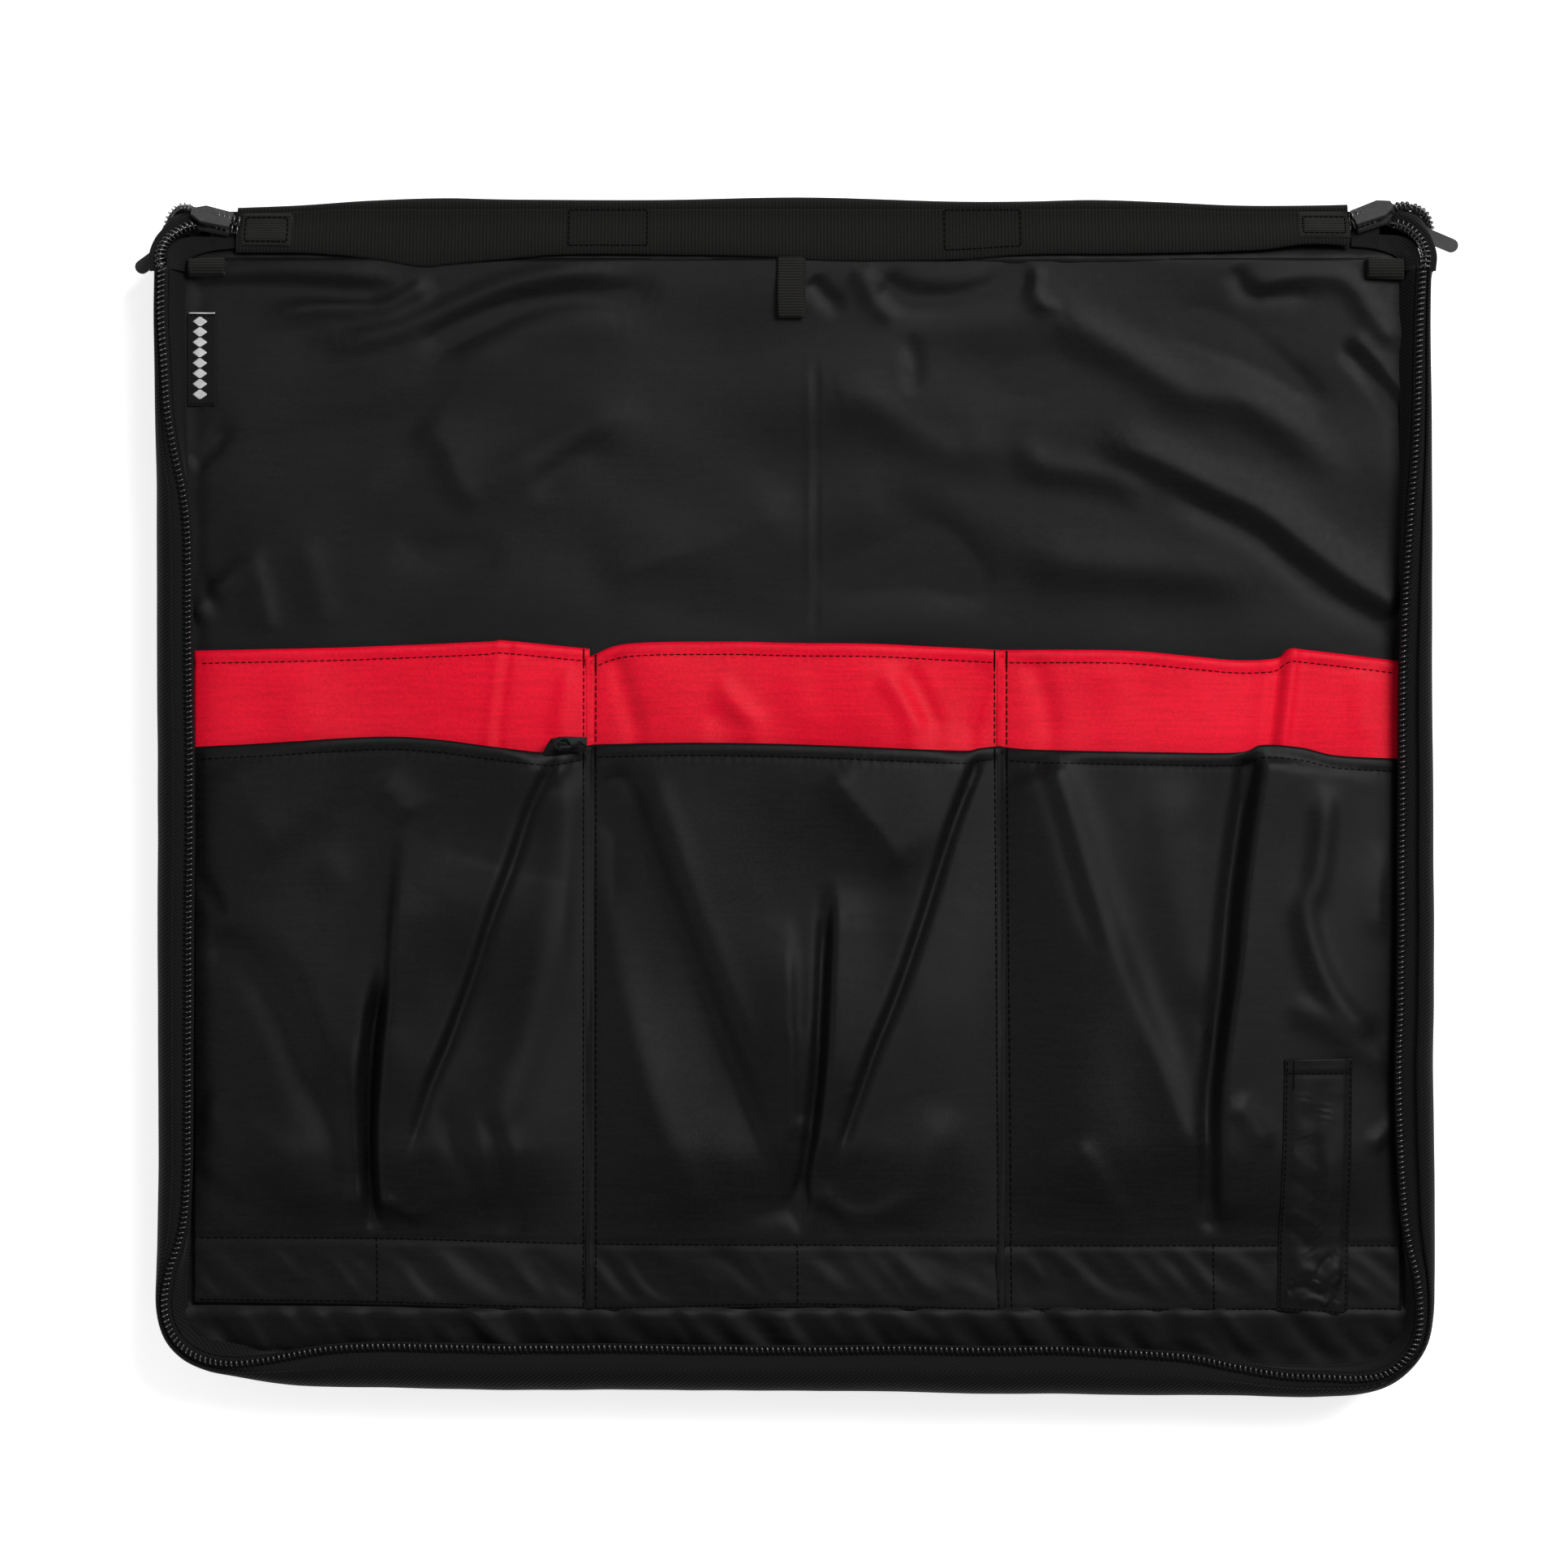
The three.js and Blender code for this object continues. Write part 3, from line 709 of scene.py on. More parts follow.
def build_panel(side):
    """The outer shell and the foam of one leaf."""
    columns = np.linspace(LEAF_LEFT, LEAF_RIGHT, 150)
    rows = np.append(np.linspace(LEAF_FOOT, LEAF_HEAD - 5, 125), np.linspace(LEAF_HEAD - 4.3, LEAF_HEAD, 7))
    x, y = rounded(*np.meshgrid(columns, rows), 0)
    ease = 0.12 * height_noise(x, y, 3 if side == "front" else 4, 170, 2)
    turned_up = 2.7 * smooth_step((y - (LEAF_HEAD - 3.5)) / 3.5)
    points = np.stack([x, y, leaf_height(side, 0.82 + ease + turned_up)], 2)
    shell = leaf_cloth(side, "shell_cloth", points, 0.6, SHELL_NYLON, "shell")
    x, y = rounded(*np.meshgrid(columns[::3], rows[::3]), 0.6)
    y = LEAF_FOOT + (y - LEAF_FOOT) * (1 - FOAM_GAP / (LEAF_HEAD - LEAF_FOOT))
    edge = np.minimum.reduce([x - LEAF_LEFT, LEAF_RIGHT - x, y - LEAF_FOOT, LEAF_HEAD - FOAM_GAP - y])
    crown = 1 - 0.5 * np.exp(-edge / 2.5)
    points = np.stack([x, y, leaf_height(side, 2.55 + 1.45 * crown)], 2)
    leaf_cloth(side, "foam_pad", points, 2.75, FOAM, "foam")


def lining_relief(x, y):
    """Soft wrinkles of the upper lining and of the strip below the pockets."""
    z = 0.6 * height_noise(x, y, 21, 140, 1) + 0.5 * height_noise(x + 0.6 * y, y - 0.4 * x, 22, 64, 1)
    return z * smooth_step((y - 40) / 30)


LINING_FOLDS = [
    # path, height, half width on the left and on the right, shares of the path that fade in and out
    ([(7, 174), (7.5, 120), (7, 61)], -0.55, 0.9, 1.2, (0.1, 0.1)),
    ([(5, 176), (5.2, 120), (5, 62)], 0.35, 2.5, 1.2, (0.2, 0.2)),
    # gathered under the webbing on the left, and the long folds that run up to it
    ([(-238, 204), (-201, 206), (-172, 204.6), (-152, 201.5)], 1.4, 4, 4, (0.05, 0.3)),
    ([(-238, 198), (-201, 199.8), (-177, 197.5), (-158, 196.8)], -1.8, 4, 4.5, (0.05, 0.15)),
    ([(-212, 186), (-200, 190), (-184, 192), (-163, 192.6), (-153, 197), (-143, 202)], 1.8, 3, 5, (0.25, 0.1)),
    ([(-196, 176), (-186, 179.6), (-175, 178.8), (-156, 183.6), (-134, 192.6), (-114, 200.6), (-90, 205),
      (-60, 207)], 2.4, 5, 5.5, (0.2, 0.25)),
    ([(-150, 174), (-128, 184), (-109, 192), (-90, 196), (-70, 196), (-50, 200)], -2, 5, 7, (0.15, 0.2)),
    ([(-147, 163), (-125, 174), (-106, 184), (-82, 189), (-56, 188)], 1.2, 8, 11, (0.3, 0.3)),
    ([(-150, 148), (-144, 143), (-138, 137), (-133, 124), (-122, 110)], 1.6, 14, 6, (0.2, 0.3)),
    ([(-125, 119), (-106, 132), (-81, 145), (-56, 152)], 1.3, 6, 10, (0.3, 0.3)),
    ([(-106, 116), (-90, 131), (-70, 140)], -1, 5, 6, (0.3, 0.3)),
    ([(-236, 142), (-205, 150), (-170, 158), (-140, 168)], 1.1, 10, 9, (0.2, 0.3)),
    ([(-228, 95), (-200, 104), (-170, 120), (-150, 137)], 1.1, 10, 13, (0.2, 0.3)),
    ([(-238, 70), (-226, 82), (-214, 92)], 1.6, 4, 4.5, (0.05, 0.4)),
    ([(-239, 86), (-232, 79), (-227, 70)], -1.6, 3, 3, (0.05, 0.4)),
    ([(-239, 130), (-230, 137), (-222, 148)], -2, 2.8, 3, (0.05, 0.4)),
    ([(-216, 98), (-211, 80), (-207, 62)], 1.1, 4, 6, (0.2, 0.2)),
    ([(-196, 104), (-190, 84), (-184, 64)], 0.8, 6, 7, (0.3, 0.2)),
    ([(-81, 84), (-58, 91), (-27, 101), (0, 120)], 1.5, 14, 14, (0.2, 0.2)),
    ([(-162, 99), (-137, 94), (-112, 96)], -1, 7, 7, (0.3, 0.3)),
    # the right-hand side: long folds that run down to the wall
    ([(32, 203), (43, 196), (60, 194.6), (80, 199), (93, 208)], -2.2, 5, 7, (0.1, 0.1)),
    ([(5.7, 203), (11.5, 196), (19, 190)], -1.6, 3, 3.5, (0.1, 0.3)),
    ([(24, 208), (30, 196), (40, 185)], 1.1, 4, 4, (0.1, 0.3)),
    ([(94, 208), (95, 196), (104, 189)], 1.6, 2.6, 4, (0.05, 0.4)),
    ([(97, 193), (113, 183), (134, 171), (154, 159), (175, 155), (192, 145), (206, 134), (220, 121)],
     2, 7, 8, (0.15, 0.25)),
    ([(146, 189), (161, 182), (178, 173), (196, 162), (212, 150)], -1.8, 6, 5, (0.2, 0.3)),
    ([(116, 141), (140, 132), (161, 122), (182, 112), (199, 99), (216, 86), (237, 72)], 3, 8, 5.5, (0.15, 0.03)),
    ([(144, 122), (161, 112), (181, 102), (195, 91), (212, 78), (236, 67)], -1.4, 4, 6, (0.2, 0.03)),
    ([(84, 140), (96, 130), (111, 127), (127, 123), (142, 112)], 1.3, 6, 6, (0.2, 0.3)),
    ([(87, 102), (100, 92), (136, 88), (161, 86), (188, 80)], 1.4, 9, 8, (0.2, 0.3)),
    ([(213, 178), (228, 161), (239, 146)], -2.6, 4, 2.4, (0.3, 0.02)),
    ([(217, 182), (231, 166), (240, 154)], 1.5, 4, 3, (0.2, 0.05)),
    ([(176, 198), (191, 203), (210, 204), (219, 200), (226, 190), (232, 182), (240, 181)], 1.5, 4, 5, (0.1, 0.1)),
    ([(172, 208), (178, 198), (192, 197), (208, 199)], -1.3, 3, 4, (0.1, 0.3)),
    ([(8, 157), (27, 155), (44, 143), (65, 134), (82, 145)], 1, 7, 9, (0.2, 0.2)),
    ([(43, 182), (46, 170), (45, 156)], -1, 4, 3, (0.3, 0.3)),
    ([(24, 122), (50, 108), (64, 90), (70, 70)], -0.9, 9, 12, (0.3, 0.2)),
]


def build_lining(side, points):
    piece = leaf_cloth(side, "lining_cloth", points, LINING_THICK, BLACK_LINING, "lining")


def front_lining():
    columns = np.linspace(LEAF_LEFT, LEAF_RIGHT, 290)
    rows = np.concatenate([np.arange(LEAF_FOOT, -196, 1.7), np.arange(-190, 20, 8.0),
                           np.arange(24, LEAF_HEAD - 1, 1.7), [LEAF_HEAD]])  # coarse under the pockets
    x, y = rounded(*np.meshgrid(columns, rows), 0.5)
    points = np.stack([x, y, LINING_TOP + 0.4 + lining_relief(x, y)], 2)
    add_folds(points, points.copy(), LINING_FOLDS)
    foot = smooth_step((-200 - y) / 4) * smooth_step((y + 224) / 8)
    slope = 2.6 * np.clip((y + 222) / 18, 0, 1)
    points[..., 2] += foot * (slope + 1.1 * height_noise(x + 0.5 * y, y * 0.4, 25, 19, 2))
    edge = np.minimum(x - LEAF_LEFT, LEAF_RIGHT - x)
    points[..., 2] += 0.2 * np.exp(-edge / 5) - 0.3 * np.exp(-((edge - 11) / 3) ** 2)
    points[..., 2] = np.maximum(points[..., 2], LINING_TOP - 0.5)
    build_lining("front", points)
    return Surface(x, y, points)


def back_lining():
    """The hidden leaf's inside, left plain."""
    grid = np.meshgrid(np.linspace(LEAF_LEFT, LEAF_RIGHT, 160), np.linspace(LEAF_FOOT, LEAF_HEAD, 145))
    x, y = rounded(*grid, 0.5)
    relief = 0.5 * height_noise(x, y, 41, 120, 2) + 0.2 * height_noise(x, y, 42, 38, 2)
    build_lining("back", np.stack([x, y, 2 * MIDDLE - (LINING_TOP + 0.4 + relief)], 2))


for leaf_side in ("front", "back"):
    build_panel(leaf_side)
lining = front_lining()
back_lining()


# ---- pockets

DIVIDERS = (-81.4, 80.2)
POCKET_LEFT, POCKET_RIGHT = -237.2, 237.6
POCKET_SPANS = {
    "left": (POCKET_LEFT, DIVIDERS[0]), "middle": DIVIDERS, "right": (DIVIDERS[1], POCKET_RIGHT),
}
FOOT_SEAM = [(-240, -200.2), (-165, -201.2), (-78, -203.6), (0, -202), (84, -204), (240, -204)]
LOWER_STITCH = [(-240, -174.2), (-165, -174.6), (-78, -176.8), (0, -177.2), (84, -177.4), (240, -177.4)]
BLACK_EDGE = {
    "left": [(-237.2, 18.7), (-209.8, 20), (-164.4, 22.6), (-141.5, 21.6), (-118.7, 18.7), (-97.7, 16.4),
             (-90, 17.5), (-81.4, 19.4)],
    "middle": [(-81.4, 19.4), (-77.7, 19.7), (-44.1, 20.3), (-14.2, 20), (15.9, 19.1), (45.8, 17.8),
               (66.7, 17.2), (71.2, 18.1), (80.2, 19.1)],
    "right": [(80.2, 19), (83.5, 18.4), (96.6, 17.5), (145.1, 16.5), (173.1, 16.5), (182, 19.4),
              (197.5, 18.4), (211.5, 15.3), (237.6, 14)],
}
RED_EDGE = {
    "left": [(-237.2, 56.5), (-175.2, 57.8), (-121.2, 60), (-116.8, 60.6), (-81.4, 57.3)],
    "middle": [(-81.4, 54.3), (-66.6, 59.1), (-29.2, 60), (1, 59.4), (30.8, 59.1), (53.4, 58.1), (80.2, 56.8)],
    "right": [(80.2, 56.8), (128, 56.5), (154, 54.3), (173.1, 52.7), (188, 53.5), (192, 57),
              (199.4, 56.8), (237.6, 52.4)],
}


HEM_GAP = 5.0  # from a pocket's mouth down to the stitches of its hem


def edge_height(edge, x):
    line = spline(edge, count=200)
    return np.interp(x, line[:, 0], line[:, 1])


def pocket_grid(span, edge, fine, coarse_below):
    """Flat coordinates of one pocket, whose last row follows its mouth and first row its foot seam. Its rows are
    widely spaced below a level where something else covers it."""
    columns = np.linspace(*span, int((span[1] - span[0]) / fine) + 1)
    first, low, high = [], -203.0, 18.0
    if coarse_below is not None:
        first, low = np.arange(low, coarse_below, 8.0), coarse_below
    rows = np.append(first, np.linspace(low, high, int((high - low) / fine) + 1))
    foot = edge_height(FOOT_SEAM, columns)
    share = (rows - rows[0]) / (rows[-1] - rows[0])
    y = foot[None] + (edge_height(edge, columns) - foot)[None] * share[:, None]
    return np.broadcast_to(columns, y.shape).copy(), y


def fullness(x, y, span):
    across = np.clip((2 * x - span[0] - span[1]) / (span[1] - span[0]), -1, 1)
    return (1 - np.abs(across) ** 4.0) * smooth_step((y + 176.5) / 40)


def seam_dips(points, flat):
    """Cloth is drawn down along the two bottom seams."""
    y = flat[..., 1]
    for path in (LOWER_STITCH, FOOT_SEAM):
        level = edge_height(path, flat[..., 0])
        points[..., 2] -= 0.5 * np.exp(-((y - level) / 1.3) ** 2)


BLACK_FOLDS = {
    "left": [
        # the long pleat: the cloth on its upper left lies over the rest, with a thin dark line along its edge
        ([(-94.6, 14), (-103.8, -3.5), (-111.4, -26.3), (-118.7, -46), (-125, -65.7), (-131, -82.5),
          (-136, -96.2), (-143, -113), (-149.2, -132.7), (-153.6, -146)], -2.4, 1.7, 1.2, (0.04, 0.12)),
        ([(-97.5, 14), (-106.4, -3.5), (-114, -26.3), (-121.4, -46), (-127.8, -65.7), (-133.8, -82.5),
          (-138.8, -96.2), (-145.8, -113), (-151.8, -132.7)], 2.2, 1.5, 24, (0.03, 0.2)),
        ([(-86, 14), (-90, -20), (-97, -60), (-107, -100), (-118, -136), (-121, -172)], 1.8, 8, 10, (0.1, 0.1)),
        # the main fold, hanging over a deep gap on its left
        ([(-151, -10), (-155, -22), (-157, -47.6), (-158.8, -78), (-161.6, -108), (-164, -131), (-164.8, -154),
          (-165.2, -172)], 3.6, 26, 1.8, (0.25, 0.04)),
        ([(-161, -66), (-164.6, -84), (-167, -104), (-168, -124), (-167.6, -148), (-166.2, -172)],
         -6.4, 2.6, 2.4, (0.2, 0.03)),
        ([(-171.5, -92), (-173.4, -112), (-173.6, -132), (-171.5, -152), (-168.6, -170)], 1.8, 2, 6, (0.3, 0.1)),
        ([(-235.8, -52.1), (-214.6, -67.3), (-202.2, -87), (-193.3, -107), (-179.6, -134.3), (-171.4, -160)],
         -2.2, 9, 9, (0.12, 0.1)),
        ([(-235.8, -40), (-212, -52), (-194, -70), (-184, -98), (-174, -124)], 1.9, 14, 9, (0.15, 0.25)),
        ([(-238, -150), (-226, -158), (-212, -169)], -1.6, 4, 5, (0.05, 0.3)),
        ([(-236, -120), (-214, -134), (-196, -154), (-188, -172)], 1.8, 10, 9, (0.1, 0.2)),
        ([(-166, 6), (-158, -2), (-152, -12)], 1.5, 9, 4, (0.3, 0.3)),
        ([(-190, -22), (-182.5, -29.5), (-176, -40)], 0.7, 7, 8, (0.3, 0.4)),
        ([(-224, 14), (-214, -6), (-200, -26)], 1.6, 13, 8, (0.2, 0.3)),
        ([(-238, -32), (-230, -40), (-222, -52)], -1.6, 4, 4, (0.05, 0.4)),
        ([(-124, -120), (-119, -134), (-116, -154), (-115.8, -173.6)], -2, 4, 3, (0.3, 0.05)),
        ([(-112, -128), (-108, -146), (-106, -174)], 1.4, 4, 5, (0.3, 0.1)),
        ([(-137, -112), (-136, -134), (-126, -156), (-128, -174)], -1.4, 4, 4, (0.3, 0.1)),
        ([(-162.8, -156), (-157, -162), (-150, -165), (-144, -160)], 1.6, 2.4, 3, (0.2, 0.2)),
        ([(-160, -162), (-152, -172), (-148, -184), (-144, -194)], -1.6, 3, 3, (0.2, 0.3)),
        ([(-96, 4), (-93, 10), (-89, 16)], 1.2, 3, 3.5, (0.3, 0.2)),
    ],
    "middle": [
        ([(-73.9, 14), (-63.4, -11.1), (-52.6, -40), (-42.2, -66), (-26.9, -105.4), (-17.7, -131.1),
          (-7.3, -152.4), (-1.2, -172)], -4.4, 8, 26, (0.08, 0.05)),
        ([(-60, 14), (-50, -16), (-40, -46), (-29, -76), (-15, -110), (-8, -132)], 1.4, 6, 9, (0.15, 0.3)),
        ([(-78, -30), (-72, -70), (-60, -112), (-46, -150), (-36, -172)], 1.6, 9, 11, (0.15, 0.1)),
        ([(72.5, 16.8), (60.8, -13.1), (49.2, -49.6), (39.3, -77.9), (29.3, -102.8), (17.7, -137.6), (15.2, -147)],
         -3, 1.8, 1.4, (0.05, 0.1)),
        ([(69.2, 16.8), (57.5, -13.1), (46, -49.6), (36, -77.9), (26, -102.8), (15, -134)], 2.2, 1.6, 22, (0.05, 0.2)),
        ([(12, 10), (20, -1), (32, -15), (44, -33)], 2.4, 13, 5, (0.15, 0.25)),
        ([(11.9, -34), (11.4, -49.6), (10.2, -74.5), (8.9, -99.4), (6.4, -126.7), (2.6, -150.8), (0.4, -173.6)],
         -4.6, 1.8, 2.2, (0.18, 0.03)),
        ([(15.4, -30), (14.6, -49.6), (13.2, -74.5), (12, -97.8), (9.5, -126.7), (5.5, -150)],
         2.8, 22, 1.7, (0.2, 0.15)),
        ([(-3.5, -44), (-2.6, -93.3), (-2.4, -126.7), (-5, -138), (-2.8, -167.6)], 2.4, 2.2, 16, (0.25, 0.1)),
        ([(1, -126), (3, -131), (2, -136)], 1.2, 2.2, 2.2, (0.3, 0.3)),
        ([(10, -160), (15, -168), (21.6, -177), (32, -188), (42.9, -199.4)], -1.8, 2.4, 3.2, (0.15, 0.2)),
        ([(10, -150), (14, -162), (30, -166), (46, -156)], 1.8, 3, 5, (0.2, 0.3)),
        ([(60, -120), (50, -146), (44, -172)], 1.6, 9, 9, (0.3, 0.1)),
    ],
    "right": [
        # cloth whose left edge is rolled over a deep gap
        ([(183.7, 16), (178.7, -16.4), (175.4, -41.3), (172.9, -67.9), (167.1, -101.1), (164, -127.7), (163.6, -172)],
         3.8, 26, 2.2, (0.02, 0.05)),
        ([(178.4, 16), (173.4, -16.4), (170, -41.3), (167.6, -67.9), (164.4, -101.1), (162.8, -127.7), (163.4, -174)],
         -5.2, 2.6, 4.4, (0.03, 0.03)),
        # a long ridge with a wide dark face
        ([(97.4, 15), (105.7, -8), (115.6, -41), (127.3, -74.5), (138.9, -101), (148.8, -128), (159, -151)],
         3.8, 8, 27, (0.05, 0.12)),
        ([(94, 15), (102, -10), (111, -41), (121, -68)], -1.2, 2.2, 4, (0.05, 0.3)),
        ([(105.7, -134), (119, -152), (130.6, -176)], 1.8, 5, 10, (0.2, 0.1)),
        ([(150, 10), (146, -20), (150, -60), (158, -90)], 1.2, 8, 10, (0.2, 0.2)),
        ([(208, 8), (204, -30), (199, -47), (205, -70), (214, -84), (228, -96)], 2.2, 5, 5, (0.15, 0.1)),
        ([(236, -20), (228, -40), (230, -60)], 1.2, 7, 7, (0.2, 0.3)),
        ([(190, -82), (206, -88), (222, -100), (236, -106)], 1.5, 5, 6, (0.2, 0.1)),
        ([(170, -118), (178, -128), (186, -140)], 1.4, 4, 5, (0.2, 0.3)),
        ([(223, -138), (230, -134), (238, -126)], 1.2, 3, 3, (0.2, 0.1)),
    ],
}
RED_FOLDS = {
    "left": [
        ([(-113, 60), (-115.4, 40), (-117.4, 18), (-118, 0)], -1.8, 1.3, 2.6, (0, 0.1)),
        ([(-116, 60), (-118.5, 40), (-120.6, 18), (-121, 0)], 1.3, 4, 1.6, (0, 0.1)),
        ([(-88, 50), (-92, 34), (-94, 18)], 1.2, 3.5, 3.5, (0.2, 0.1)),
        ([(-200, 50), (-196, 34), (-198, 15)], 0.9, 10, 10, (0.2, 0.2)),
    ],
    "middle": [
        ([(-72, 56), (-66, 36), (-60, 14)], -1.6, 3.5, 4.5, (0.1, 0.1)),
        ([(-33, 46), (-24, 36), (-12, 22)], 1.6, 4, 4, (0.2, 0.2)),
        ([(-36, 34), (-26, 24), (-18, 12)], -1.3, 4, 4, (0.2, 0.2)),
        ([(33, 50), (42, 36), (50, 20)], 1.6, 3.6, 4, (0.2, 0.2)),
        ([(42, 52), (50, 38), (57, 22)], -1.2, 3, 4, (0.2, 0.2)),
        ([(76, 52), (70, 36), (66, 16)], -1.5, 3.5, 4, (0.1, 0.1)),
        ([(-4, 52), (2, 34), (6, 16)], 0.9, 8, 8, (0.2, 0.2)),
    ],
    "right": [
        ([(190.5, 58), (188.4, 40), (186.1, 19), (185, 0)], -3, 1.2, 2.6, (0, 0.1)),
        ([(195, 58), (193, 40), (190.6, 19), (189, 0)], 2.4, 2.4, 8, (0, 0.1), -0.2),
        ([(92, 54), (98, 36), (100, 15)], -1.4, 4, 5, (0.1, 0.1)),
        ([(120, 54), (126, 36), (122, 15)], 0.9, 8, 8, (0.2, 0.2)),
        ([(226, 52), (222, 36), (224, 15)], 1, 6, 6, (0.2, 0.2)),
    ],
}


def pocket_surface(span, edge, folds, bulge, level, seed, fine, coarse_below):
    x, y = pocket_grid(span, edge, fine, coarse_below)
    full = fullness(x, y, span)
    points = np.stack([x, y, level + bulge * full], 2)
    flat = points.copy()
    soft = 1.2 * height_noise(x, y * 0.6, seed, 62, 1) + 0.1 * height_noise(x, y * 0.5, seed + 1, 24, 2)
    points[..., 2] += soft * (0.25 + 0.75 * full)
    raised = points.copy()
    add_folds(raised, flat, folds, 1.25)
    raised[..., 2:] = blend_rows(raised[..., 2:], 2, 2)
    hold = np.clip(full * 2.2 + 0.12, 0, 1)[..., None]
    points = points + (raised - points) * hold
    band = np.exp(-((y + 189) / 9) ** 4)
    points[..., 2] += 0.75 * band * height_noise(x + 0.7 * y, 0.6 * y, seed + 5, 24, 2)
    seam_dips(points, flat)
    return x, y, points


def over(surface, x, y):
    """Heights of a surface over a grid whose columns each have one x."""
    xs = surface.flat_x[0]
    out = np.empty_like(x)
    for c, at in enumerate(np.clip(x[0], xs[0], xs[-1])):
        k = int(np.clip(np.searchsorted(xs, at) - 1, 0, len(xs) - 2))
        a = (at - xs[k]) / (xs[k + 1] - xs[k])
        level, height = ((1 - a) * v[:, k] + a * v[:, k + 1] for v in (surface.flat_y, surface.points[..., 2]))
        out[:, c] = np.interp(y[:, c], level, height)
    return out


def hem_relief(points, x, y, edge):
    """The mouth's folded hem: thicker up to its stitch line, which pulls the cloth in, and rolled at the edge."""
    below = edge_height(edge, x) - y
    past = below - HEM_GAP
    points[..., 2] += 0.45 * (1 - smooth_step(past / 1.2)) - 0.55 * np.exp(-(past / 0.9) ** 2)
    points[..., 2] -= 0.7 * np.exp(-below / 0.7)
    pucker = 0.16 * np.sin(x * 2 * math.pi / 3.6 + 2 * np.sin(x / 9))
    points[..., 2] += pucker * np.exp(-(past / 2.6) ** 2)


# What differs between the two layers of pockets: fold list, edge of the mouth, arch, height above the lining, seed,
# spacing of the grid, level below which it is coarse, material, slot, replaced node and how it is held.
POCKET_KINDS = {
    "red": (RED_FOLDS, RED_EDGE, 4.0, 1.4, 60, 1.25, -8.0, POCKET_RED, "red_nylon", "red_rear_pockets", "hung"),
    "black": (BLACK_FOLDS, BLACK_EDGE, 8.0, 2.2, 80, 1.15, None, POCKET_BLACK, "lining_nylon",
              "black_front_pockets", "gathered"),
}


def build_pocket(kind, side, number):
    folds, edges, bulge, rise, seed, fine, coarse_below, material, slot, node, held = POCKET_KINDS[kind]
    span, edge = POCKET_SPANS[side], edges[side]
    level = LINING_TOP + rise
    x, y, points = pocket_surface(span, edge, folds[side], bulge, level, seed + number, fine, coarse_below)
    hem_relief(points, x, y, edge)
    if kind == "red":
        flat = LINING_TOP + 0.95
        points[..., 2] = np.maximum(flat + (points[..., 2] - flat) * smooth_step((y + 22) / 30), flat)
        covered = 1.6 * smooth_step((5 - y) / 10)  # the covered edges stay inside the black sheet's
        points[..., 0] += covered * (np.exp((POCKET_LEFT - x) / 2.5) - np.exp((x - POCKET_RIGHT) / 2.5))
        points[..., 1] += 1.6 * np.exp((edge_height(FOOT_SEAM, x) - y) / 4)
    else:
        points[..., 2] = np.maximum(points[..., 2], over(red[side], x, y) + 0.6)
    piece = settle(cloth(f"{kind}_pocket_{side}", points, POCKET_THICK, material), "front_half", node)
    return Surface(x, y, points)


def edge_stitches(threads, surface, side, edge, offset, end_gap, count, length, radius):
    """A row of stitches across one pocket, offset upwards from an edge."""
    low, high = POCKET_SPANS[side]
    xs = np.linspace(low + end_gap, high - end_gap, count)
    stitches(threads, surface, np.stack([xs, edge_height(edge, xs) + offset], 1), 2.6, length, radius)


red, black = {}, {}
for number, side in enumerate(POCKET_SPANS):
    red[side] = build_pocket("red", side, number)
    black[side] = build_pocket("black", side, number)
for kind, surfaces, edges in (("red", red, RED_EDGE), ("black", black, BLACK_EDGE)):
    hem = Threads()
    for side, surface in surfaces.items():
        edge_stitches(hem, surface, side, edges[side], -HEM_GAP, 3, 60, 1.9, 0.19)
    hem.ride(f"{kind}_hem_stitching")


# ---- stitching of the pockets

def surface_at(surfaces, x):
    side = "left" if x < DIVIDERS[0] else "middle" if x < DIVIDERS[1] else "right"
    return side, surfaces[side]


DIVIDER_LINES = [(-83.8, -83.9), (-79.0, -79.0), (77.8, 79.4), (82.6, 84.5)]
PLEAT_LINES = [(-165.3, -164.9), (0.2, 0.4), (163.7, 164.1)]


def divider_stitching():
    """Double lines that part the pockets, through both layers, with a bar tack at each mouth."""
    threads = Threads()
    for top, foot in DIVIDER_LINES:
        side, low = surface_at(black, top)
        x = top + (foot - top) * 0.3
        mouth, upper = edge_height(BLACK_EDGE[side], x), edge_height(RED_EDGE[side], top)
        end = edge_height(FOOT_SEAM, foot) + 1.6
        stitches(threads, low, [(top, mouth - 0.8), (x, -60), (foot, end)], 2.75, 2.1, 0.26)
        stitches(threads, low, [(top, mouth - 0.6), (top, mouth - 9)], 1.3, 1.2, 0.36)
        stitches(threads, red[side], [(top, upper - 0.5), (top, mouth + 0.8)], 2.75, 2.1, 0.24)
        stitches(threads, red[side], [(top, upper - 0.3), (top, upper - 7)], 1.3, 1.2, 0.34)
    threads.ride("divider_stitching")


def foot_stitching():
    """The line where the pleats end, the seam at the foot, and the short stitches over each pleat."""
    threads = Threads()
    for side, surface in black.items():
        for seam, offset in ((LOWER_STITCH, 0), (FOOT_SEAM, 1.7)):
            edge_stitches(threads, surface, side, seam, offset, 2, 40, 2.0, 0.22)
    for top, foot in PLEAT_LINES:
        start, end = edge_height(LOWER_STITCH, top) + 1, edge_height(FOOT_SEAM, foot) + 1.6
        stitches(threads, surface_at(black, top)[1], [(top, start), (foot, end)], 2.6, 2.0, 0.24)
    threads.ride("foot_stitching")


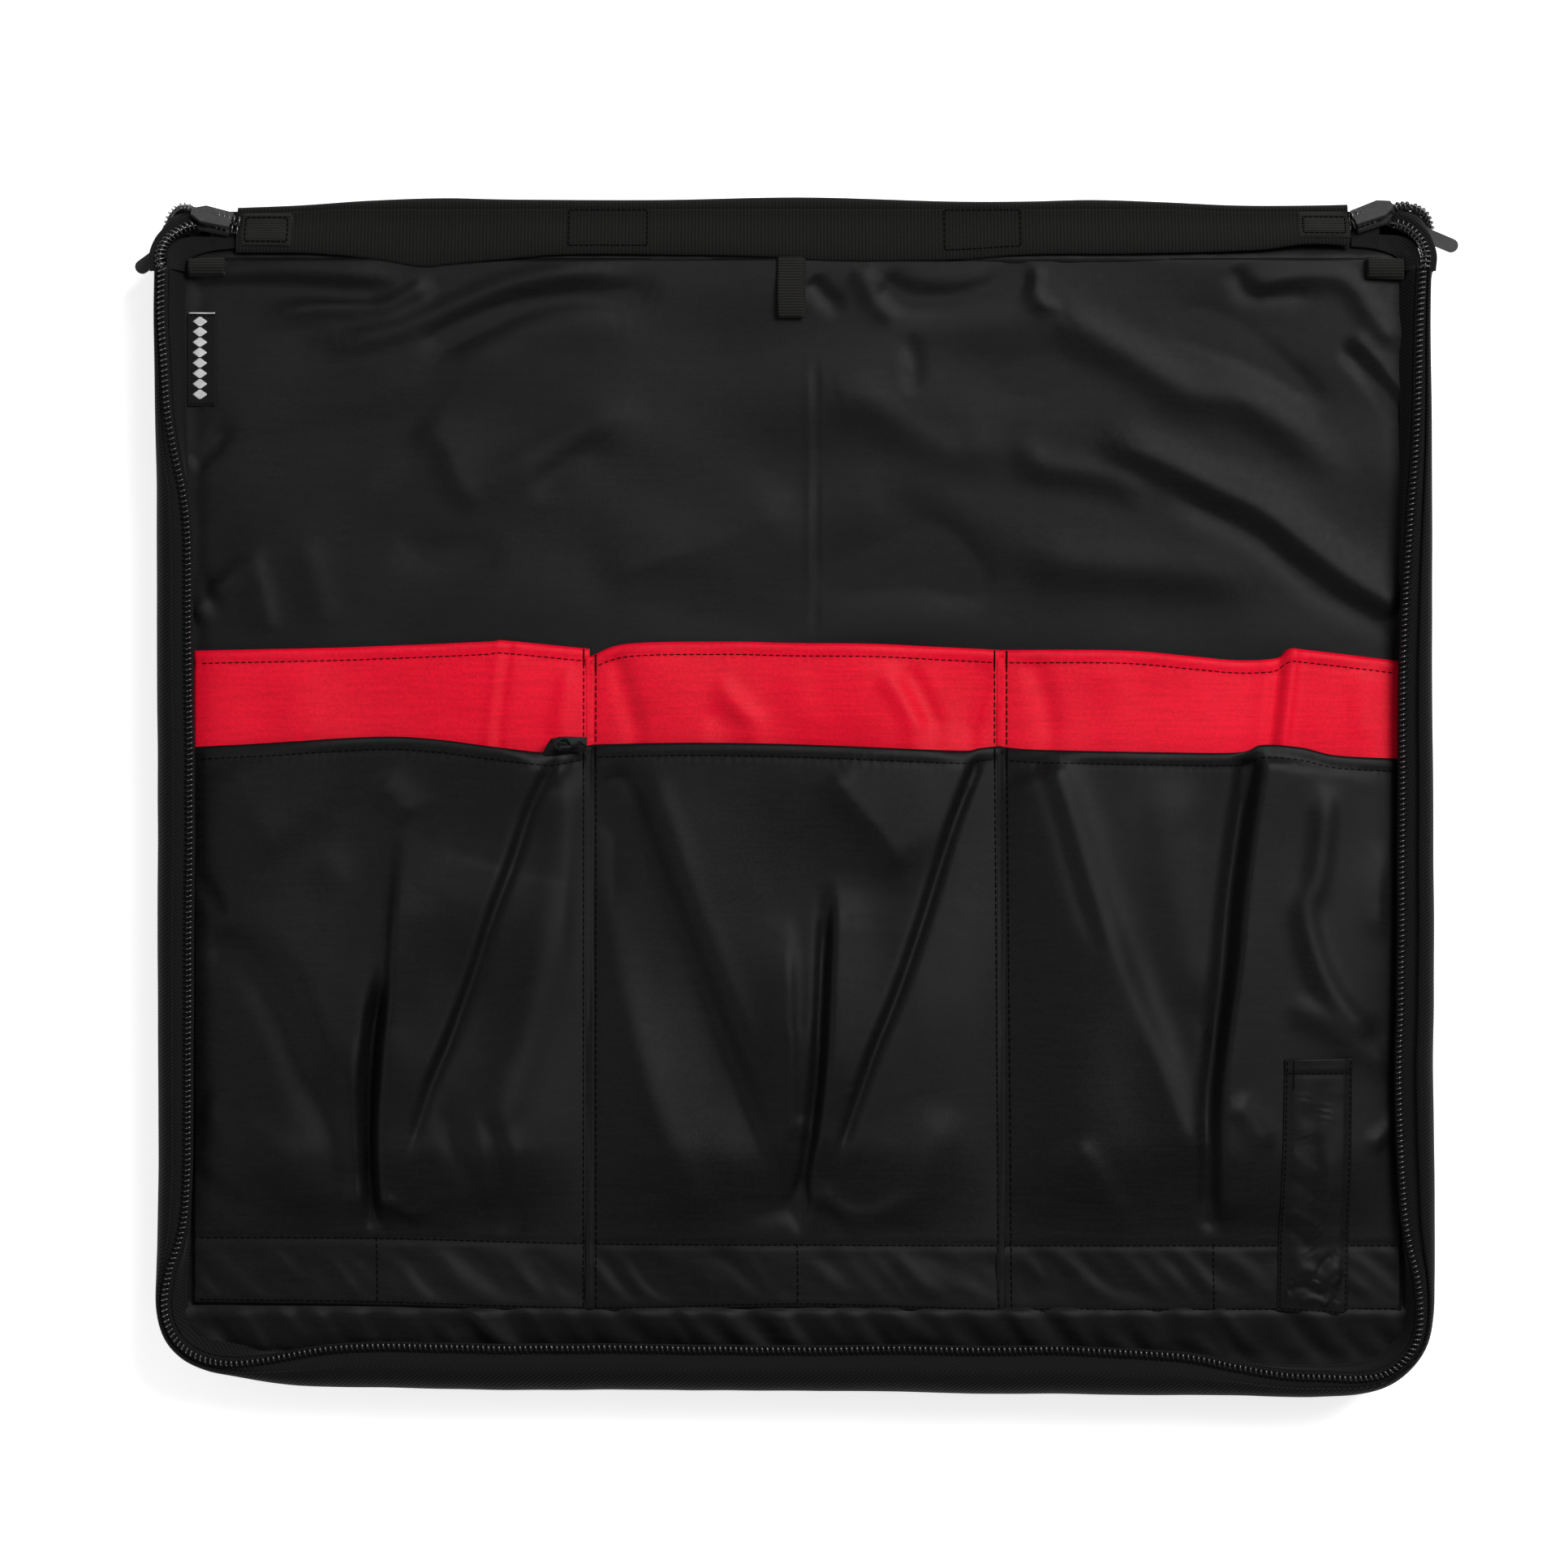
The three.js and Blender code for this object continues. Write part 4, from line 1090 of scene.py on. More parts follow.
def cover_divider(at, surfaces, foot, head, name, material):
    """A narrow flat of cloth over the join of two pockets, sunk into them along its edges."""
    x, y = np.meshgrid(at + np.linspace(-1.9, 1.9, 9), np.linspace(foot, head, int((head - foot) / 1.5)))
    before, after = surfaces
    z = np.maximum(over(before, x, y), over(after, x, y))
    z = blend_rows(z[..., None], 6, 2)[..., 0] + 0.28 - 0.6 * (np.abs(x - at) / 1.9) ** 4
    settle(cloth(name, np.stack([x, y, z], 2), 0.3, material), "front_half")


for at, before, after in ((DIVIDERS[0], "left", "middle"), (DIVIDERS[1], "middle", "right")):
    mouth = edge_height(BLACK_EDGE[after], at)
    cover_divider(at, (black[before], black[after]), edge_height(FOOT_SEAM, at) + 0.4, mouth - 0.3,
                  f"{before}_divider_cloth", POCKET_BLACK)
    upper = min(edge_height(RED_EDGE[before], at), edge_height(RED_EDGE[after], at))
    cover_divider(at, (red[before], red[after]), mouth - 6, upper - 0.3, f"{before}_red_divider_cloth", POCKET_RED)
divider_stitching()
foot_stitching()


# ---- pen pocket

PEN_FOLDS = [
    ([(2, 64), (9, 58), (16, 54)], 0.9, 2.2, 3, (0.2, 0.3)),
    ([(1, 54), (9, 50), (15, 43)], -0.9, 1.6, 2.4, (0.1, 0.3)),
    ([(2, 40), (10, 37), (17, 31)], 1.1, 2, 2.6, (0.1, 0.3)),
    ([(1, 34), (8, 30), (14, 23)], -1, 1.6, 2.2, (0.1, 0.3)),
    ([(17, 84), (15, 70), (18, 54), (17, 36)], 1.2, 2.6, 2.2, (0.2, 0.3)),
    ([(7, 88), (6, 76), (9, 66)], 0.7, 2.6, 3, (0.3, 0.3)),
    ([(4, 13), (11, 17), (18, 15), (24, 20)], 1.9, 2, 2.2, (0.15, 0.1)),
    ([(3, 8), (10, 10.5), (17, 8), (22, 12)], -2, 1.2, 1.6, (0.1, 0.1)),
    ([(8, 4), (14, 6), (20, 3.5)], 1.6, 1.2, 1.6, (0.15, 0.1)),
    ([(18, 2), (20, 10), (24, 16)], 1.7, 1.1, 1.2, (0.1, 0.15)),
    ([(22, 4), (23.5, 11), (26, 17)], -1.6, 1, 1.2, (0.1, 0.15)),
    ([(14, 12), (17, 20), (23, 25)], -1.2, 1.2, 1.6, (0.1, 0.3)),
]


def build_pen_pocket():
    """A narrow patch on the right-hand pocket, open at its top and crumpled at its foot."""
    across, up = np.meshgrid(np.linspace(0, 27, 46), np.linspace(0, 100, 170))
    u, v = across / 27, up / 100
    x = (188.9 + 1.9 * v) * (1 - u) + (216.6 + 0.9 * v) * u
    y = (-203.2 - 1.9 * u) * (1 - v) + (-103.5 + 0.3 * u) * v
    base = np.array([[black["right"].look_up(a, b)[0][2] for a, b in zip(*row)] for row in zip(x, y)])
    base = blend_rows(base[..., None], 10, 10)[..., 0]
    arch = 1 - np.abs(2 * u - 1) ** 3.2
    local = np.stack([across, up, np.zeros_like(u)], 2)
    raised = local.copy()
    raised[..., 2] = 2.5 * arch * (0.35 + 0.65 * smooth_step(v / 0.2)) + 0.2 * height_noise(x, y, 91, 22, 2) * arch
    for path, height, left, right, ends in PEN_FOLDS:
        fold(raised, local, path, (0.3 if abs(height) > 1.5 else 0.6) * height, 1.2 * left, 1.2 * right, ends)
    past_hem = 100 - up - 5.6
    relief = raised[..., 2] * (0.1 + 0.9 * np.clip(arch * 1.6, 0, 1))
    relief += 0.4 * (1 - smooth_step(past_hem / 1.2)) - 0.5 * np.exp(-(past_hem / 0.9) ** 2)
    points = np.stack([x, y, np.maximum(base + 0.55 + relief, base + 0.45)], 2)
    piece = cloth("pen_pocket_cloth", points, 0.4, POCKET_BLACK)
    settle(piece, "front_half", "pen_pocket")
    surface = Surface(across, up, points)
    threads = Threads()
    for path, *sizes in (
        ([(0.9, 99.4), (0.9, 50), (0.9, 1)], 2.3, 1.7, 0.2), ([(26.1, 99.4), (26.1, 50), (26.1, 1)], 2.3, 1.7, 0.2),
        ([(3.4, 99.4), (3.4, 94), (3.4, 88)], 1.6, 1.4, 0.22), ([(1, 94.4), (13, 94.4), (26, 94.4)], 2.3, 1.7, 0.18),
        ([(1, 1.3), (13, 1.3), (26, 1.3)], 2.3, 1.7, 0.2),
    ):
        stitches(threads, surface, path, *sizes)
    threads.ride("pen_pocket_stitching")


build_pen_pocket()


# ---- spine of ribbed webbing

RIDGE_LINE = [(-240, 230.2), (-226, 231.5), (-197, 232.7), (-169, 234.6), (-140, 235.6), (-112, 235.1), (-55, 234.9),
              (2.6, 235.9), (60, 234.3), (91, 234.3), (117, 234.9), (145, 234), (174, 232.7), (203, 232.7),
              (231, 233.3), (242, 232.6)]
LOWER_EDGE = [(-240, 213.2), (-218.7, 213), (-197.7, 213), (-180, 212.1), (-163.8, 210.2), (-147.6, 207.6),
              (-133.9, 208.9), (-108.5, 211.1), (-90.4, 212.4), (-55.2, 212.4), (-8.2, 211.4), (11.8, 209.9),
              (58.5, 210.2), (91.8, 212.4), (132.7, 212.7), (179.4, 214), (197.8, 216.2), (211.8, 216.2),
              (222, 215.2), (242, 215)]
SPINE_LEFT, SPINE_RIGHT = -220.6, 217.4
CAP_RADIUS = 2.7
FOLD_AXIS = 231.0
SPINE_SHARES = np.linspace(0, 1, 26)
SEAM_BEND = across_y(208.5, 212.8)


def fold_middle(x):
    """Where the strips end: at the axis they fold about, or below it where the ridge is low."""
    return np.minimum(FOLD_AXIS, edge_height(RIDGE_LINE, x) - CAP_RADIUS)


def webbing_height(share):
    """Height of the front strip, from its lower edge (0) to the axis of its fold (1)."""
    drop = LINING_TOP + 2.0 - MIDDLE - CAP_RADIUS
    return MIDDLE + CAP_RADIUS + drop * (1 - smooth_step(share * 1.15)) ** 0.8


def strip_rows(x, shares, place):
    """A grid with one row of points for each share; place gives the row's y and z."""
    return np.array([np.stack([x, *(v + 0 * x for v in place(share))], 1) for share in shares])


def spine_rows(x):
    """The front strip, from its lower edge up to the axis of its fold."""
    low, high = edge_height(LOWER_EDGE, x), fold_middle(x)
    lift = 0.35 * height_noise(x, 0 * x, 71, 90, 3)

    def place(share):
        swell = 0.55 * math.sin(math.pi * share) * (1 + lift) + lift * (1 - share) * 0.6
        hem = -0.5 * math.exp(-share / 0.04)
        return low + (high - low) * share, webbing_height(share) + swell + hem

    return strip_rows(x, SPINE_SHARES, place)


def turned_over(points):
    out = points.copy()
    out[..., 2] = 2 * MIDDLE - out[..., 2]
    return out[::-1]


def cap_rows(x):
    """Half an ellipse round the fold, from the front strip's end to the rear one's."""
    middle = fold_middle(x)
    reach = edge_height(RIDGE_LINE, x) - middle
    return strip_rows(x, np.linspace(math.pi / 2, -math.pi / 2, 19), lambda angle: (
        middle + reach * math.cos(angle) ** 0.7, MIDDLE + CAP_RADIUS * math.sin(angle)))


def build_spine():
    x = np.linspace(SPINE_LEFT, SPINE_RIGHT, 560)
    front = spine_rows(x)
    strip = cloth("spine_webbing_front", front, WEBBING_THICK, SPINE_WEBBING)
    settle(strip, ("front_half", "spine_front_half"), "spine_front", SEAM_BEND)
    edge = cloth("spine_webbing_fold", cap_rows(x), WEBBING_THICK, SPINE_WEBBING)
    settle(edge, ("spine_front_half", "spine_rear_half"), None,
           ((0, mm(RIDGE), mm(MIDDLE + CAP_RADIUS)), (0, mm(RIDGE), mm(MIDDLE - CAP_RADIUS))))
    rear = cloth("spine_webbing_rear", turned_over(front), WEBBING_THICK, SPINE_WEBBING)
    settle(rear, ("back_half", "spine_rear_half"), "spine_rear", SEAM_BEND)
    shape = front.shape[:2]
    return Surface(np.broadcast_to(x, shape), np.broadcast_to(SPINE_SHARES[:, None] * 20, shape), front)


def seam_strip(side):
    """The lining's turned edge, which goes in under the webbing along the seam."""
    x = np.linspace(LEAF_LEFT + 6, LEAF_RIGHT - 6, 240)
    reach = 13.5 + 4.5 * smooth_step((222 - np.abs(x)) / 3)  # less where the sliders are

    def place(share):
        y = 207.5 + reach * share
        fall = smooth_step((y - 211) / 9)
        z = LINING_TOP + 0.35 + (MIDDLE + 1.3 - LINING_TOP - 0.35) * fall - 1.1 * smooth_step((210.6 - y) / 2)
        z += 0.9 * smooth_step((y - 220) / 6)
        return y, z + 0.2 * height_noise(x, y, 77, 24, 2) * (1 - fall)

    points = strip_rows(x, np.linspace(0, 1, 18), place)
    points = points if side == "front" else turned_over(points)
    piece = cloth(f"{side}_seam_strip", points, LINING_THICK, BLACK_LINING)
    spine_side = "spine_front_half" if side == "front" else "spine_rear_half"
    settle(piece, (f"{side}_half", spine_side), None, SEAM_BEND)


def box_stitches(threads, surface, x0, x1, low, high):
    corners = [(x0, low), (x1, low), (x1, high), (x0, high), (x0, low)]
    for a, b in zip(corners[:-1], corners[1:]):
        stitches(threads, surface, [a, b], 2.1, 1.7, 0.24)


def build_handle():
    """The carry handle: a webbing strap pressed flat between the two halves of the spine."""
    low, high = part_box("carry_handle")
    x = np.linspace(low.x * 1000, high.x * 1000, 200)
    points = strip_rows(x, np.linspace(0, 1, 12), lambda share: (
        low.y * 1000 + (high.y - low.y) * 1000 * share,
        MIDDLE + 0.75 + 0.12 * np.sin(x / 9) * math.sin(math.pi * share)))
    strap = cloth("carry_handle_strap", points, 1.3, LOOP_WEBBING)
    settle(strap, "spine_front_half", "carry_handle")


spine = build_spine()
seam_strip("front")
seam_strip("back")
build_handle()
handle_stitches = Threads()
box_stitches(handle_stitches, spine, -89.9, -58.9, 3.8, 19.5)
box_stitches(handle_stitches, spine, 58.1, 88.1, 3.8, 19.5)
handle_stitches.ride("handle_box_stitching", "spine_front_half")


# ---- top corners: tape, gusset and both zip branches

def loft(curves, rows, columns):
    """A grid through several curves, each given by its own few points."""
    lines = np.stack([spline(c, count=columns) for c in curves])
    return np.stack([spline(lines[:, j], count=rows) for j in range(columns)], 1)


CORNERS = {
    "left": {
        "front_coil": [(-248.4, 205.6, 35.6), (-249, 211.4, 33.6), (-246.6, 217.8, 29.6), (-240.6, 222.8, 25.6),
                       (-236, 224.3, 23.4)],
        "rear_start": [(-236.4, 229, 20.4), (-240.5, 232.1, 18.8), (-244.9, 232.4, 16)],
        "rear_coil": [(-244.9, 232.4, 16), (-249.2, 228.4, 11.5), (-251.2, 219.5, 6.4), (-248.6, 205.6, 1.7)],
        "front_gusset": [
            [(-250.3, 205.5, 33.2), (-250.8, 211.8, 31.2), (-248.5, 219.2, 27.2), (-242.2, 224.8, 23.4),
             (-238.6, 226.4, 21.6)],
            [(-251.5, 205.5, 26), (-252.2, 212.5, 25), (-251.4, 220, 22.8), (-247, 227.2, 20.8),
             (-239.6, 229.6, 19.8)],
            [(-249.8, 205.5, 19.3), (-250.4, 212, 19.2), (-249.8, 219.4, 19.1), (-246.8, 226.6, 19),
             (-240.2, 230.4, 18.9)],
        ],
        "front_tape": [
            [(-246.6, 205.5, 33.6), (-247, 211, 31.6), (-245.1, 216, 27.8), (-240.5, 218.9, 24.4),
             (-234, 219.4, 22.4), (-226, 219.2, 21.8), (-219.5, 218.8, 22)],
            [(-243.6, 205.5, 30.5), (-243.6, 210, 28.6), (-241.4, 213.6, 26), (-237, 215.9, 24), (-230, 217.2, 22.8),
             (-224, 217.3, 22.6), (-219.5, 217.2, 22.6)],
            [(-240.6, 205.5, 25.6), (-240.2, 209, 25.2), (-237.5, 211.6, 24.6), (-232, 213.4, 24.2),
             (-228, 214.2, 24), (-224, 214.6, 23.8), (-219.5, 215.3, 23.6)],
        ],
        "back_gusset": [
            [(-249.4, 205.5, 17.3), (-250, 212, 17.4), (-249.4, 219.2, 17.4), (-246.4, 226.2, 17.5),
             (-240, 229.9, 17.6)],
            [(-251.2, 205.5, 10.5), (-251.6, 212.5, 11), (-250.8, 220, 12.2), (-246.4, 226.6, 14),
             (-240.2, 229.6, 15.6)],
            [(-250.4, 205.5, 3.6), (-251.2, 218, 8), (-249.4, 226.6, 12.8), (-245, 230.2, 15.6),
             (-241, 230.4, 16.8)],
        ],
        "back_tape": [
            [(-246.9, 205.5, 2.8), (-247.6, 213, 6.2), (-246.2, 221.5, 10.4), (-242.2, 226.2, 12.6),
             (-234, 228.3, 13.4), (-226, 228.2, 13.6), (-219.5, 227.6, 13.6)],
            [(-243.6, 205.5, 6.5), (-243.4, 210, 8.4), (-240.6, 215.8, 11), (-234, 219, 12.2), (-226, 220, 12.6),
             (-222, 220, 12.8), (-219.5, 220, 12.8)],
            [(-240.6, 205.5, 11.2), (-240.2, 208.4, 11.4), (-237.5, 210.6, 11.8), (-232, 212.2, 12.2),
             (-228, 213, 12.4), (-224, 213.6, 12.6), (-219.5, 214.2, 12.8)],
        ],
    },
    "right": {
        "front_coil": [(245.4, 205.6, 35.6), (246, 211.8, 33.4), (243.8, 218.4, 29.4), (238.9, 223.4, 25.8),
                       (233.4, 225.2, 23.6)],
        "rear_start": [(232.6, 230.2, 20.8), (237.5, 232.5, 19.6), (243.4, 232.9, 17.4)],
        "rear_coil": [(243.4, 232.9, 17.4), (249.6, 229.6, 14), (252.2, 222.5, 10), (251.6, 213.5, 5.8),
                      (249.2, 205.6, 1.7)],
        "front_gusset": [
            [(247.4, 205.5, 33.2), (248, 212, 31), (245.8, 219.6, 27), (240.9, 225.4, 23.4), (236.4, 227.2, 21.4)],
            [(249.4, 205.5, 26), (250.1, 213, 24.8), (249, 220.6, 22.6), (244.4, 227.2, 20.8), (236.8, 229.8, 19.8)],
            [(247.6, 205.5, 19.3), (248.2, 212, 19.2), (247.8, 219, 19.1), (244.2, 226.6, 19), (237.4, 230.6, 18.9)],
        ],
        "front_tape": [
            [(243.6, 205.5, 33.6), (244, 211.2, 31.6), (242.1, 216.8, 27.8), (237.8, 219.7, 24.4),
             (232, 220.4, 22.4), (226, 220.3, 21.8), (218.5, 219.8, 22)],
            [(240.6, 205.5, 30.5), (240.7, 210, 28.6), (238.6, 214.2, 26), (234.8, 216.8, 24), (229.5, 218.2, 22.8),
             (224, 218.2, 22.6), (218.5, 218, 22.6)],
            [(237.6, 205.5, 25.6), (237.2, 209.4, 25.2), (234.8, 212.2, 24.6), (229.5, 214.4, 24.2),
             (226, 215.2, 24), (223, 215.6, 23.8), (218.5, 216, 23.6)],
        ],
        "back_gusset": [
            [(247.3, 205.5, 17.3), (247.9, 212, 17.4), (247.6, 219, 17.4), (244.4, 226.4, 17.5), (238, 230.2, 17.6)],
            [(251.2, 205.5, 10.5), (251.6, 212.5, 11), (250.2, 220, 12.6), (245.6, 226.8, 14.4), (238.8, 229.8, 15.8)],
            [(251.6, 205.5, 3.6), (251.4, 216, 8), (249.8, 225.2, 12.2), (245.2, 230.2, 15.6), (239.6, 230.6, 17)],
        ],
        "back_tape": [
            [(246.6, 205.5, 2.8), (247.4, 213, 6.2), (246.2, 221.5, 10.4), (241.6, 226.8, 12.6), (234, 228.9, 13.4),
             (226, 228.8, 13.6), (218.5, 228, 13.6)],
            [(242.4, 205.5, 6.5), (242, 210, 8.4), (239.2, 215.8, 11), (233, 219, 12.2), (226, 220, 12.6),
             (222, 220, 12.8), (218.5, 220, 12.8)],
            [(237.6, 205.5, 11.2), (237.2, 208.4, 11.4), (234.8, 210.6, 11.8), (230, 212.2, 12.2), (226, 213, 12.4),
             (223, 213.6, 12.6), (218.5, 214.2, 12.8)],
        ],
    },
}


def build_branch(name, path, sign, rise, bodies, limits):
    """One row of the zip's turns along a path, on its cord and its tape. Its heads point inwards, and up by rise."""
    line = spline(path, step=0.5)
    inward = unit(np.cross(unit(np.gradient(line, axis=0)), [0, 0, 1.0]) * sign)
    inward[:, 2] += rise
    inward = unit(inward)
    over = unit(np.cross(inward, unit(np.gradient(line, axis=0))))
    over *= np.sign(over[:, 2].mean())
    turns = Threads()
    turns.add(*tube_quads(coil_points(line, inward), WIRE))
    turns.add(*tube_quads(line, 0.5, 8))
    settle(turns.make(name, COIL_NYLON), bodies, None, limits)
    strip = np.array([line + inward * reach - over * 1.35 for reach in np.linspace(-4.2, 1.2, 8)])
    strip[..., 2] = np.maximum(strip[..., 2], 0.6)
    if grid_normals(strip)[4, len(line) // 2] @ over[len(line) // 2] < 0:
        strip = strip[::-1]
    settle(cloth(f"{name}_tape", strip, TAPE_THICK, TAPE_TWILL), bodies, None, limits)


def build_corner(side):
    c = CORNERS[side]
    sign = 1 if side == "left" else -1
    front = ("front_half", "spine_front_half"), across_y(206, 222.5)
    back = ("spine_rear_half", "back_half"), across_y(222.5, 206)
    middle = ("spine_front_half", "spine_rear_half"), ((0, 0, mm(20.2)), (0, 0, mm(16.8)))
    for name, turn, rise, moves in (
        ("front_coil", sign, -0.3, front), ("rear_start", -sign, 1.4, middle), ("rear_coil", -sign, 1.4, back),
    ):
        build_branch(f"{side}_{name}_branch", c[name], turn, rise, *moves)
    for part, material, thickness, (bodies, limits) in (
        ("front_gusset", GUSSET_TWILL, 0.8, front), ("front_tape", TAPE_TWILL, 0.6, front),
        ("back_gusset", GUSSET_TWILL, 0.8, back), ("back_tape", TAPE_TWILL, 0.6, back),
    ):
        points = loft(c[part], 24, 60)
        wrinkle = 0.35 * height_noise(points[..., 0], points[..., 1], 7, 9, 2)
        points[..., 2] += wrinkle * np.sin(np.linspace(0, math.pi, 24))[:, None]
        piece = cloth(f"{side}_corner_{part}", points, thickness, material)
        settle(piece, bodies, None, limits)


def build_backing(side):
    """The back wall's cloth where it doubles over itself under the zip's turns in a corner."""
    lines = [
        [(232, 224, 12.6), (240, 224, 11.0), (247.5, 221.5, 8.4)],
        [(233, 228.6, 13.2), (241, 228.2, 12.4), (248.2, 225, 10.2)],
        [(234, 231.4, 15.0), (241.5, 231.2, 14.4), (246.5, 229, 12.8)],
    ]
    points = loft(lines, 16, 24)
    if side == "left":
        points = points[:, ::-1] * [-1, 1, 1] - [0.8, 0, 0]
    piece = cloth(f"{side}_corner_backing", points, 0.8, GUSSET_TWILL)
    settle(piece, ("spine_rear_half", "back_half"), None, across_y(222.5, 206))


for corner in CORNERS:
    build_corner(corner)
    build_backing(corner)


# ---- zip ends: tabs and the closed bit of chain

def build_chain_end(side):
    low, high = (np.array(c) * 1000 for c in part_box(f"{side}_chain_end"))
    middle = (low + high) / 2
    way = np.array([1.0, 0.15 if side == "right" else -0.25, 0.0])
    way /= np.linalg.norm(way)
    out = np.cross([0, 0, 1.0], way)
    threads = Threads()
    for row, phase in ((1, 0.0), (-1, math.pi)):
        line = np.array([middle + way * s + out * row * 1.7 + [0, 0, 0.4] for s in np.linspace(-5.2, 5.2, 40)])
        across = np.broadcast_to(-out * row, line.shape)
        threads.add(*tube_quads(coil_points(line, across, phase), WIRE))
    turns = threads.make(f"{side}_chain_turns", COIL_NYLON)
    settle(turns, "spine_front_half", f"{side}_chain_end")
    x, y = np.meshgrid(middle[0] + np.linspace(-7, 7, 30), np.linspace(middle[1] - 9, 229.8, 30))
    level = middle[2] - 1.2 + 0.1 * height_noise(x, y, 53, 14, 2)
    tape = cloth(f"{side}_chain_tape", np.stack([x, y, level], 2), TAPE_THICK, TAPE_TWILL)
    settle(tape, "spine_front_half")


def build_tab(side):
    """A folded patch of webbing sewn over the end of the zip in a box of stitches."""
    low, high = (np.array(c) * 1000 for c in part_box(f"{side}_zip_end_tab"))
    u, v = np.meshgrid(np.linspace(0, 1, 60), np.linspace(0, 1, 46))
    x = low[0] + (high[0] - low[0]) * u
    y = low[1] + (high[1] - low[1]) * v
    x += 0.35 * np.sin(math.pi * v) * (2 * u - 1)
    y += 0.25 * np.sin(2.2 * u + 1) * (1 - v)
    edge_x = np.minimum(u, 1 - u) * (high[0] - low[0])
    edge_y = np.minimum(v, 1 - v) * (high[1] - low[1])
    edge = np.minimum(edge_x, edge_y)
    share = np.clip((y - edge_height(LOWER_EDGE, x)) / (fold_middle(x) - edge_height(LOWER_EDGE, x)), 0, 1)
    top = webbing_height(share) + 1.5
    rounding = 1.3 * np.exp(-edge / 0.7)
    groove = 0.35 * np.exp(-((edge - 2.0) / 0.6) ** 2)
    swell = 0.5 * np.sin(math.pi * u) * np.sin(math.pi * v) + 0.2 * height_noise(x, y, 51, 12, 2)
    points = np.stack([x, y, top + swell - rounding - groove], 2)
    piece = cloth(f"{side}_tab_webbing", points, 2.2, TAB_WEBBING)
    settle(piece, "spine_front_half", f"{side}_zip_end_tab")
    surface = Surface(np.broadcast_to(u * 20, u.shape), v * 14, points)
    threads = Threads()
    reach = 2.0 / (high[0] - low[0]) * 20, 2.0 / (high[1] - low[1]) * 14
    box_stitches(threads, surface, reach[0], 20 - reach[0], reach[1], 14 - reach[1])
    threads.ride(f"{side}_tab_stitching", "spine_front_half")


for zip_side in ("left", "right"):
    build_chain_end(zip_side)
    build_tab(zip_side)


# ---- hang loops

def build_loop(side, x0, x1, bend, profile, shear=0.0):
    """A ribbon of webbing folded back on itself: profile is its line in (y, height above the lining, slip in x)."""
    columns = np.linspace(0, 1, 16)
    rows = []
    for y, z, slip in spline(profile, count=90):
        x = x0 + (x1 - x0) * columns + slip
        curl = 0.18 * np.exp(-np.minimum(columns, 1 - columns) * (x1 - x0) / 0.6)
        rows.append(np.stack([x, y + shear * (columns - 0.5), LINING_TOP + z - curl], 1))
    piece = cloth(f"{side}_loop_ribbon", np.array(rows), 0.9, LOOP_WEBBING)
    settle(piece, ("front_half", f"{side}_loop_body"), f"{side}_hang_loop", across_y(210.6, bend))


build_loop(
    "centre", -7.4, 2.4, 204.5,
    [(210.9, 1.1, 0.9), (202, 1.2, 0.9), (193, 1.3, 0.8), (188.6, 1.9, 0.5), (187.4, 2.9, 0.3), (188.4, 4.0, 0.1),
     (192.5, 4.6, 0.0), (200, 4.2, -0.1), (206, 3.4, 0.0), (211.4, 2.6, 0.0)])
build_loop(
    "left", -238.9, -224.9, 207.2,
    [(209.6, 1.0, 0.4), (206.6, 1.0, 0.3), (204.4, 1.6, 0.2), (203.7, 3.2, 0.1), (204.7, 5.0, 0.0),
     (207.0, 5.9, 0.0), (209.2, 5.3, 0.0), (210.6, 3.9, 0.0), (210.9, 2.6, 0.0)], 0.5)
build_loop(
    "right", 224.4, 238.4, 207.2,
    [(209.8, 1.0, -0.6), (206.4, 1.0, -0.4), (203.6, 1.5, -0.2), (202.6, 2.6, -0.1), (203.6, 4.2, 0.0),
     (206.2, 5.2, 0.0), (209.0, 4.8, 0.0), (210.6, 3.6, 0.0), (211.0, 2.4, 0.0)], -0.8)


# ---- woven label, with plain lozenges in place of words

LABEL_LEFT, LABEL_RIGHT, LABEL_LOW, LABEL_HIGH = -239.6, -228.6, 152.9, 189.6
LABEL_MARKS = np.arange(157.4, 187, 4.1)  # middles of a row of lozenges


def label_height(x, y):
    lift = 0.5 * smooth_step((x - LABEL_RIGHT + 5) / 5) + 0.12 * height_noise(x, y, 15, 18, 2)
    return over(lining, x, y) + 0.5 + lift


def build_label():
    x, y = np.meshgrid(np.linspace(LABEL_LEFT, LABEL_RIGHT, 40), np.linspace(LABEL_LOW, LABEL_HIGH, 120))
    points = np.stack([x, y, label_height(x, y)], 2)
    piece = cloth("label_cloth", points, 0.35, LABEL_WEAVE)
    settle(piece, "front_half", "woven_label")
    surface = Surface(x, y, points)
    threads = Threads()
    for middle in LABEL_MARKS:
        for offset in np.arange(-1.65, 1.7, 0.3):  # a lozenge is a row of threads of growing and falling length
            half = 2.9 * (1 - abs(offset) / 2.1)
            places = -234.8 + np.linspace(-half, half, 7)
            run = [surface.look_up(a, middle + offset)[0] + [0, 0, 0.05] for a in places]
            threads.add(*tube_quads(run, 0.17))
    run = [surface.look_up(a, LABEL_HIGH - 0.2)[0] for a in np.linspace(LABEL_LEFT + 0.4, LABEL_RIGHT - 0.3, 12)]
    threads.add(*tube_quads(run, 0.28))
    threads.ride("label_lozenges", material=LABEL_THREAD)
    hem = Threads()
    for level in (LABEL_LOW + 0.8, LABEL_HIGH - 1.2):
        stitches(hem, surface, [(LABEL_LEFT + 0.5, level), (LABEL_RIGHT - 0.5, level)], 1.8, 1.3, 0.14)
    hem.ride("label_stitching")


build_label()


# ---- the folded corner of the left pocket's mouth

